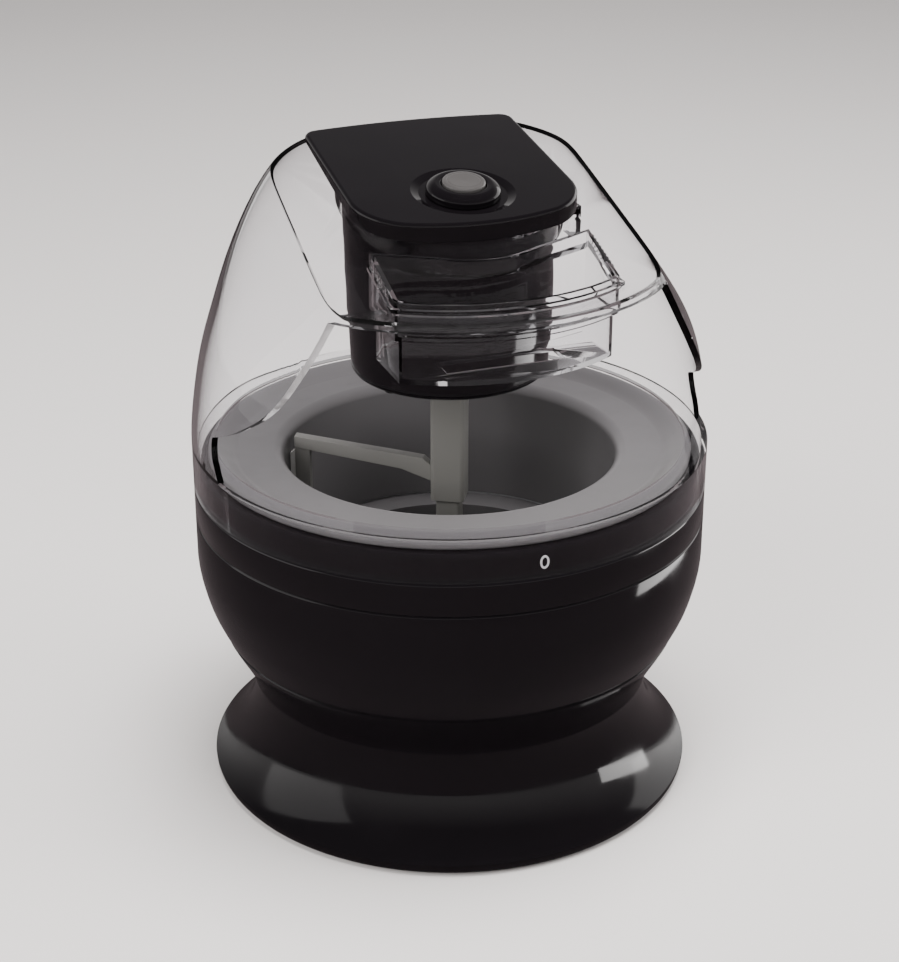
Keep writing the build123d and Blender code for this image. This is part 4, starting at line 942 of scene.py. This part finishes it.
# ---------------------------------------------------------------- base
@dataclass
class Base:
    """Gloss black pedestal, bowl shell and collar, with rubber pads below."""

    foot_r: float = 112.3
    foot_z: float = 6.0
    gap: float = 1.5
    waist_r: float = 92.2
    waist_z: float = 42.0
    seam_r: float = 105.3
    seam_z: float = 74.0
    bowl_r: float = 116.0
    full_z: float = 112.0
    top_z: float = 145.0
    groove_z: float = 130.0
    wall: float = 2.6
    pad_r: float = 8.0
    pad_ring: float = 90.3

    def pedestal(self) -> None:
        """Turns the flared pedestal."""
        spread = self.foot_r - self.waist_r
        drop = self.waist_z - self.foot_z
        radius = (spread ** 2 + drop ** 2) / (2 * spread)
        low_angle = 180 + math.degrees(math.asin(drop / radius))
        chord = math.hypot(self.seam_r - self.waist_r, self.seam_z - self.waist_z)
        up, out = (0.0, chord), (0.447 * chord, 0.894 * chord)
        inside = self.foot_r - self.wall
        outline = Outline(inside, self.gap).to(self.foot_r - 1.6, self.gap)
        outline.swing(self.foot_r, self.foot_z, (2.6, 1.1), (-1.3, 4.4), 7)
        outline.bend((self.waist_r + radius, self.waist_z), low_angle, 180, radius, 26)
        outline.swing(self.seam_r - 0.15, self.seam_z - 0.5, up, out, 18)
        outline.to(self.seam_r - 0.6, self.seam_z).to(self.seam_r - self.wall, self.seam_z)
        outline.swing(self.waist_r - self.wall, self.waist_z, (-out[0], -out[1]), (0.0, -chord), 10)
        outline.bend((self.waist_r - self.wall + radius, self.waist_z), 180, low_angle, radius, 14)
        piece = eased(spun("pedestal", outline), 0.0)
        placed(piece, "base", "gloss_black", "base_foot")

    def bowl(self) -> None:
        """Turns the swelling bowl shell, with its fine groove and its bright shoulder."""
        middle = (self.bowl_r - 3.6, 91.0)
        outline = Outline(self.seam_r - self.wall, self.seam_z).to(self.seam_r - 0.5, self.seam_z)
        outline.to(self.seam_r + 0.05, self.seam_z + 0.55)
        outline.swing(middle[0], middle[1], (8.0, 16.0), (5.0, 17.7), 12)
        outline.swing(self.bowl_r, self.full_z, (5.8, 20.5), (0.0, 21.3), 14)
        outline.to(self.bowl_r, self.groove_z - 0.8).to(self.bowl_r - 0.15, self.groove_z - 0.45)
        outline.to(self.bowl_r - 0.55, self.groove_z).to(self.bowl_r - 0.15, self.groove_z + 0.45)
        outline.to(self.bowl_r, self.groove_z + 0.8).to(self.bowl_r, self.top_z - 1.4)
        outline.bend((self.bowl_r - 1.4, self.top_z - 1.4), 0, 90, 1.4, 6)
        shoulder = self.top_z - 2.8
        outline.to(105.0, self.top_z).to(105.0, shoulder).to(self.bowl_r - self.wall, shoulder)
        outline.to(self.bowl_r - self.wall, self.full_z)
        outline.swing(middle[0] - self.wall, middle[1], (0.0, -21.3), (-5.8, -20.5), 8)
        outline.swing(self.seam_r - self.wall, self.seam_z + 0.01, (-5.0, -17.7), (-8.0, -16.0), 8)
        piece = eased(spun("bowl_shell", outline), 0.0)
        placed(piece, "base", "gloss_black", "base_bowl")

    def collar(self) -> None:
        """Turns the hollow collar under the lid's skirt."""
        outline = Outline(103.8, 146.6).to(103.8, 156.4).bend((104.4, 156.4), 180, 90, 0.6, 4)
        outline.to(111.6, 157.0).bend((111.8, 156.0), 90, 0, 1.0, 5).to(112.8, 145.0)
        outline.to(110.6, 145.0).to(110.6, 154.8).to(106.0, 154.8).to(106.0, 146.6)
        piece = eased(spun("collar_shell", outline), 0.0)
        placed(piece, "base", "gloss_black", "base_collar")

    def pads(self) -> None:
        """Turns one rubber pad with a tread ring and copies it round the plate."""
        outline = Outline(0, 0.6).to(3.2, 0.6).to(3.6, 0.0).to(5.2, 0.0).to(5.6, 0.5).to(6.2, 0.5)
        outline.to(6.5, 0.05)
        outline.bend((7.2, 0.8), -90, 0, 0.8, 5).to(self.pad_r, 2.5).to(3.0, 2.5).to(3.0, 5.0).to(4.2, 5.0)
        outline.to(4.2, 5.9).to(3.6, 6.5).to(0, 6.5)
        first = eased(spun("rubber_pads", outline, 48), 0.0)
        first.location = (self.pad_ring * MM, 0, 0)
        copies = []
        for turn in (90, 180, 270):
            copy = first.copy()
            copy.data = first.data.copy()
            bpy.context.scene.collection.objects.link(copy)
            angle = math.radians(turn)
            copy.location = (self.pad_ring * MM * math.cos(angle), self.pad_ring * MM * math.sin(angle), 0)
            copies.append(copy)
        clear_selection()
        for copy in copies + [first]:
            copy.select_set(True)
        bpy.context.view_layer.objects.active = first
        bpy.ops.object.join()
        apply_place(first)
        placed(first, "base", "rubber", "rubber_feet")

    def build(self) -> None:
        """Builds the base."""
        self.pedestal()
        self.bowl()
        self.collar()
        self.pads()


# ---------------------------------------------------------------- canister
@dataclass
class Canister:
    """Light grey rim of the canister's upper half."""

    mouth_r: float = 75.0
    low_z: float = 99.9
    dish_z: float = 159.0
    edge: float = 5.0
    bead_in: float = 99.8
    bead_r: float = 105.0
    bead_z: float = 163.0
    rim_r: float = 108.8
    lip_z: float = 157.4
    wall: float = 1.4

    def build(self) -> None:
        """Turns the mouth wall, the dished ring, the bead and the outer lip."""
        outline = Outline(self.mouth_r, self.low_z)
        outline.bend((self.mouth_r + self.edge, self.dish_z - self.edge), 180, 90, self.edge, 12)
        outline.to(self.bead_in - 4.0, self.dish_z - 0.35)
        outline.swing(self.bead_r, self.bead_z, (8.0, 0.0), (8.0, 0.0), 16)
        outline.swing(self.rim_r, self.lip_z + 2.2, (5.0, 0.0), (0.0, -5.0), 10)
        outline.bend((self.rim_r - 1.0, self.lip_z + 1.0), 0, -90, 1.0, 4)
        outer = self.mouth_r + self.wall
        outline.to(outer + self.edge, self.lip_z).to(outer, self.lip_z - self.edge).to(outer, self.low_z)
        piece = eased(spun("canister_rim", outline), 0.0)
        placed(piece, "canister_upper", "canister_grey", "upper_rim")


# ---------------------------------------------------------------- lid
@dataclass
class Lid:
    """Clear domed lid: deck, two flattened cheeks, open front, motor collar and chute hole."""

    radius: float = 116.0
    wall: float = 2.6
    skirt_z: float = 145.3
    ledge_z: float = 163.4
    ledge_t: float = 2.0
    rise: float = 107.6
    slope: float = 0.32
    lip_z: float = 250.0
    cheek_at: Point = (71.0, 38.0)
    cheek_faces: Point = (-0.201, 0.722)
    back_y: float = 61.0
    back_rise: float = 1.2
    cheek_blend: float = 2.4
    tool_reach: float = 150.0
    bore_r: float = 47.2
    collar_wall: float = 2.2
    dome: tuple[Point, ...] = (
        (1.6, 0.191), (5.8, 0.405), (12.0, 0.6), (19.2, 0.805), (27.6, 0.991), (35.5, 1.112), (44.0, 1.195),
    )

    @property
    def deck_z(self) -> float:
        """Height of the deck on the axis."""
        return self.ledge_z + self.rise

    def facets(self, inset: float) -> list[tuple[Vector, Vector]]:
        """Gives the planes that flatten the dome.

        Args:
            inset: how far in the planes are moved.

        Returns:
            A point and an outward normal for each cheek and the back.
        """
        planes = []
        x, y = self.cheek_at
        for side in (-1, 1):
            normal = Vector((side, *self.cheek_faces)).normalized()
            origin = Vector((side * x, y, self.deck_z + self.slope * y))
            planes.append((origin - normal * inset, normal))
        back = Vector((0, 1, self.back_rise)).normalized()
        origin = Vector((0, self.back_y, self.deck_z + self.slope * self.back_y))
        planes.append((origin - back * inset, back))
        return planes

    def flatten(self, piece: bpy.types.Object, inset: float) -> None:
        """Presses the dome in to its flat cheeks and back, with a soft blend at their edges.

        Args:
            piece: the turned dome.
            inset: how far in the planes are moved.
        """
        planes = self.facets(inset)
        for vertex in piece.data.vertices:
            place = vertex.co / MM
            if place.z < self.ledge_z + self.ledge_t:
                continue
            for origin, normal in planes:
                beyond = (place - origin).dot(normal)
                if beyond < -12 * self.cheek_blend:
                    continue
                kept = -self.cheek_blend * math.log1p(math.exp(-beyond / self.cheek_blend))
                place = place - normal * (beyond - kept)
            vertex.co = place * MM

    def form(self, name: str, inset: float) -> bpy.types.Object:
        """Makes the lid's outer form, or its inner one.

        Args:
            name: the new object's name.
            inset: the wall's thickness for the inner form, 0 for the outer.

        Returns:
            A closed solid.
        """
        low = self.skirt_z - (5.0 if inset else 0.0)
        radius = self.radius - inset
        shoulder = self.ledge_z + self.ledge_t
        outline = Outline(0, low).to(radius, low).to(radius, shoulder)
        knots = [(radius, shoulder)]
        for inward, share in self.dome:
            knots.append((self.radius - inward - inset, self.ledge_z + self.rise * share - inset * 0.3))
        outline.through(knots, (0.0, 1.0), (-0.75, 0.66), 5)
        top = knots[-1]
        for share in (0.75, 0.5, 0.25):
            outline.to(top[0] * share, top[1] + 2.0)
        outline.to(0, top[1] + 2.0)
        piece = spun(name, outline, 192)
        self.flatten(piece, inset)
        drop = inset * math.hypot(1, self.slope)
        lip = self.lip_z - inset
        deck = self.deck_z - drop
        crease_y = (lip - deck) / self.slope
        reach = self.tool_reach
        sky = 400
        corners = [
            (-reach, -reach, lip), (-reach, crease_y, lip), (-reach, reach, deck + self.slope * reach),
            (-reach, reach, sky), (-reach, -reach, sky),
        ]
        return worked(piece, prism("deck_cut", corners, (2 * reach, 0, 0)), Join.CUT)

    def window_tool(self) -> bpy.types.Object:
        """Makes the tool that opens the front, with a side edge that sweeps back to the skirt.

        Returns:
            The cutting solid.
        """
        knots = [(-62.5, 246.0), (-60.0, 227.0), (-52.5, 207.0), (-36.0, 193.0), (-17.0, 184.0)]
        outline = Outline(*knots[0])
        outline.through(knots, (0.0, -1.0), (19.0, -6.5), 6)
        outline.swing(-20.0, 172.0, (7.0, -3.0), (-7.0, -4.0), 6).to(-24.0, 165.4)
        outline.to(-140.0, 165.4).to(-140.0, 246.0)
        corners = [(-self.tool_reach, y, z) for y, z in outline.points]
        return prism("window_tool", corners, (2 * self.tool_reach, 0, 0))

    def shell(self) -> bpy.types.Object:
        """Hollows the form and adds its ledge, motor collar and tab.

        Returns:
            The shell before its openings are cut.
        """
        piece = worked(self.form("lid_dome", 0.0), self.form("lid_hollow", self.wall), Join.CUT)
        ledge = Outline(105.8, self.ledge_z).to(self.radius - 1.3, self.ledge_z)
        ledge.to(self.radius - 1.3, self.ledge_z + self.ledge_t).to(105.8, self.ledge_z + self.ledge_t)
        worked(piece, spun("ledge", ledge, 192), Join.ADD)
        top = 250.0
        collar = Outline(self.bore_r, 246.0).to(self.bore_r + self.collar_wall, 246.0)
        collar.to(self.bore_r + self.collar_wall, top + 6).to(self.bore_r, top + 6)
        ring = spun("motor_collar", collar, 128)
        for vertex in ring.data.vertices:
            if vertex.co.z > (top + 3) * MM:
                vertex.co.z = (277.7 + 0.22 * vertex.co.y / MM) * MM
            else:
                vertex.co.z = (max(self.deck_z + self.slope * vertex.co.y / MM, self.lip_z) - 1.5) * MM
        worked(piece, ring, Join.ADD)
        corners = [(48, -20, 254), (53.2, -20, 254), (53.2, -13, 254), (48, -13, 254)]
        tab = prism("collar_tab", corners, (0, 0, 15.5))
        return worked(piece, tab, Join.ADD)

    def build(self) -> None:
        """Builds the lid and cuts its openings."""
        piece = self.shell()
        bore = Outline(0, 216).to(self.bore_r, 216).to(self.bore_r, 320).to(0, 320)
        worked(piece, spun("bore_tool", bore, 128), Join.CUT)
        worked(piece, prism("chute_tool", Chute().plan(0.7, 210.0), (0, 0, 100)), Join.CUT)
        worked(piece, self.window_tool(), Join.CUT)
        notch = [(5.7 * math.cos(math.radians(a)), 45.0, 280.6 + 5.7 * math.sin(math.radians(a)))
                 for a in range(180, 361, 15)]
        notch += [(5.7, 45.0, 330.0), (-5.7, 45.0, 330.0)]
        worked(piece, prism("notch_tool", notch, (0, 70, 0)), Join.CUT)
        eased(piece, 0.7, 3, 32.0)
        placed(piece, "lid", "clear_plastic", "lid")


# ---------------------------------------------------------------- chute
@dataclass
class Chute:
    """Clear drop-in ingredient chute with stepped walls and ribbed finger edges."""

    half_w: float = 49.0
    front_r: float = 86.0
    inner_r: float = 50.3
    back_y: float = -38.0
    waist_x: float = 20.0
    ribs: int = 9
    rib_pitch: float = 2.6
    rib_depth: float = 4.2
    rim_z: float = 277.0
    rim_slope: float = 0.32

    def plan(self, grow: float, height: float) -> list[tuple[float, float, float]]:
        """Draws the chute's plan.

        Args:
            grow: how far it stands out past its true size.
            height: the height it is drawn at.

        Returns:
            Its corners in order.
        """
        half = self.half_w + grow
        front = self.front_r + grow
        inner = self.inner_r - grow
        back = self.back_y + grow
        side = math.degrees(math.acos(half / front))
        waist = math.degrees(math.acos(self.waist_x / inner))
        front_arc = [(front * math.cos(math.radians(a)), -front * math.sin(math.radians(a)))
                     for a in spaced(side, 180 - side, 30)]
        waist_arc = [(inner * math.cos(math.radians(a)), -inner * math.sin(math.radians(a)))
                     for a in spaced(180 - waist, waist, 14)]
        corners = [(half, back), *front_arc, (-half, back), *waist_arc]
        return [(x, y, height) for x, y in corners]

    def build(self) -> None:
        """Builds the chute from a softened copy of its packed form, with ribs along its side rims."""
        piece = merged_copy("ingredient_chute", "chute_bin")
        for side in (-1, 1):
            for index in range(self.ribs):
                y = self.back_y - 4.0 - index * self.rib_pitch
                top = self.rim_z + self.rim_slope * y
                x = side * (self.half_w + 0.05)
                tip = x + side * 0.55
                corners = [
                    (x, y - 0.5, top - 0.3), (tip, y - 0.5, top - 0.3), (tip, y + 0.5, top - 0.1),
                    (x, y + 0.5, top - 0.1),
                ]
                rib = prism("rib", corners, (0, 0, -self.rib_depth))
                worked(piece, rib, Join.ADD)
        eased(piece, 0.45, 2, 30.0)
        placed(piece, "chute", "clear_plastic", "ingredient_chute")


def spaced(start: float, end: float, count: int) -> list[float]:
    """Spaces numbers evenly.

    Args:
        start: the first.
        end: the last.
        count: how many steps lie between them.

    Returns:
        The numbers, both ends among them.
    """
    return [start + (end - start) * step / count for step in range(count + 1)]


# ---------------------------------------------------------------- motor unit
@dataclass
class ButtonGroup:
    """Silver push button in its raised gloss ring, square to the sloping cover."""

    centre: tuple[float, float, float] = (0.0, -17.0, 280.61)
    slope: float = 0.17
    button_r: float = 9.3
    ring_r: float = 16.0

    def tilted(self, piece: bpy.types.Object) -> bpy.types.Object:
        """Moves a piece from the axis to its place on the cover.

        Args:
            piece: the piece, turned about Z with the cover's surface at height 0.

        Returns:
            The piece in place.
        """
        piece.rotation_euler = (math.atan(self.slope), 0, 0)
        piece.location = Vector(self.centre) * MM
        apply_place(piece)
        return piece

    def ring(self) -> None:
        """Turns the raised ring round the button."""
        inner = self.button_r + 0.4
        outline = Outline(inner, -3.6).to(self.ring_r - 5.0, -3.6).to(self.ring_r - 5.0, -1.35)
        outline.to(self.ring_r - 0.3, -1.35).to(self.ring_r, -1.0).to(self.ring_r, 1.0)
        outline.swing(self.ring_r - 4.0, 3.8, (0.0, 3.6), (-4.6, 0.0), 12)
        outline.to(inner + 1.0, 3.7).bend((inner + 0.8, 2.9), 90, 180, 0.8, 5)
        piece = eased(spun("button_ring", outline, 96), 0.0)
        placed(self.tilted(piece), "motor_unit", "gloss_black", "button_bezel")

    def button(self) -> None:
        """Turns the button, slightly dished, with a fine step round its face."""
        r = self.button_r
        outline = Outline(0, -9.0).to(2.0, -9.0).to(2.0, -6.0).to(r, -6.0).to(r, 3.9)
        outline.bend((r - 1.2, 3.9), 0, 90, 1.2, 7).to(r - 1.9, 5.1).to(r - 2.1, 4.95).to(r - 2.3, 5.05)
        outline.swing(0, 4.75, (-3.0, 0.0), (-3.0, 0.0), 8)
        piece = eased(spun("push_button", outline, 96), 0.0)
        placed(self.tilted(piece), "button", "button_silver", "power_button")

    def build(self) -> None:
        """Builds the ring and the button."""
        self.ring()
        self.button()


@dataclass
class CordBoot:
    """Ribbed rubber boot round the cord's inlet at the back of the motor unit."""

    start_y: float = 41.0
    end_y: float = 62.0
    bore: float = 3.3
    radius: float = 5.0
    height: float = 280.6
    ribs: int = 5

    def build(self) -> None:
        """Turns the boot about Z, then lays it along the inlet."""
        length = self.end_y - self.start_y
        outline = Outline(self.bore, 0).to(self.radius, 0).to(self.radius, 7.0)
        pitch = (length - 8.0) / self.ribs
        for index in range(self.ribs):
            z = 7.0 + index * pitch
            taper = self.radius - 0.12 * index
            outline.to(taper, z + 0.3).to(taper, z + pitch * 0.55)
            outline.to(taper - 0.9, z + pitch * 0.65).to(taper - 0.9, z + pitch * 0.95)
        outline.to(self.radius - 0.9, length - 0.6).bend((self.radius - 1.5, length - 0.6), 0, 90, 0.6, 4)
        outline.to(self.bore, length)
        piece = eased(spun("cord_boot", outline, 48), 0.0)
        piece.rotation_euler = (-math.pi / 2, 0, 0)
        piece.location = (0, self.start_y * MM, self.height * MM)
        apply_place(piece)
        placed(piece, "motor_unit", "rubber", "cord_gland")


# ---------------------------------------------------------------- paddle
@dataclass
class Paddle:
    """Light grey paddle with moulded, rounded edges."""

    rounding: float = 0.7

    def build(self) -> None:
        """Builds the paddle from a merged copy of its packed form."""
        piece = eased(merged_copy("paddle", "mixing_paddle"), self.rounding, 3, 30.0)
        placed(piece, "paddle", "paddle_grey", "paddle")


def main() -> None:
    """Builds the machine's looks piece by piece and reports them."""
    logging.basicConfig(level=logging.INFO, format="%(name)s: %(message)s")
    Studio().build()
    for row in frame["record"]["subparts"]:
        WARDROBE.dress_node(row["node"], row["material_slot"])
    for part in (Base(), Canister(), Lid(), Chute(), ButtonGroup(), CordBoot(), Paddle()):
        part.build()


if __name__ == "__main__":
    main()
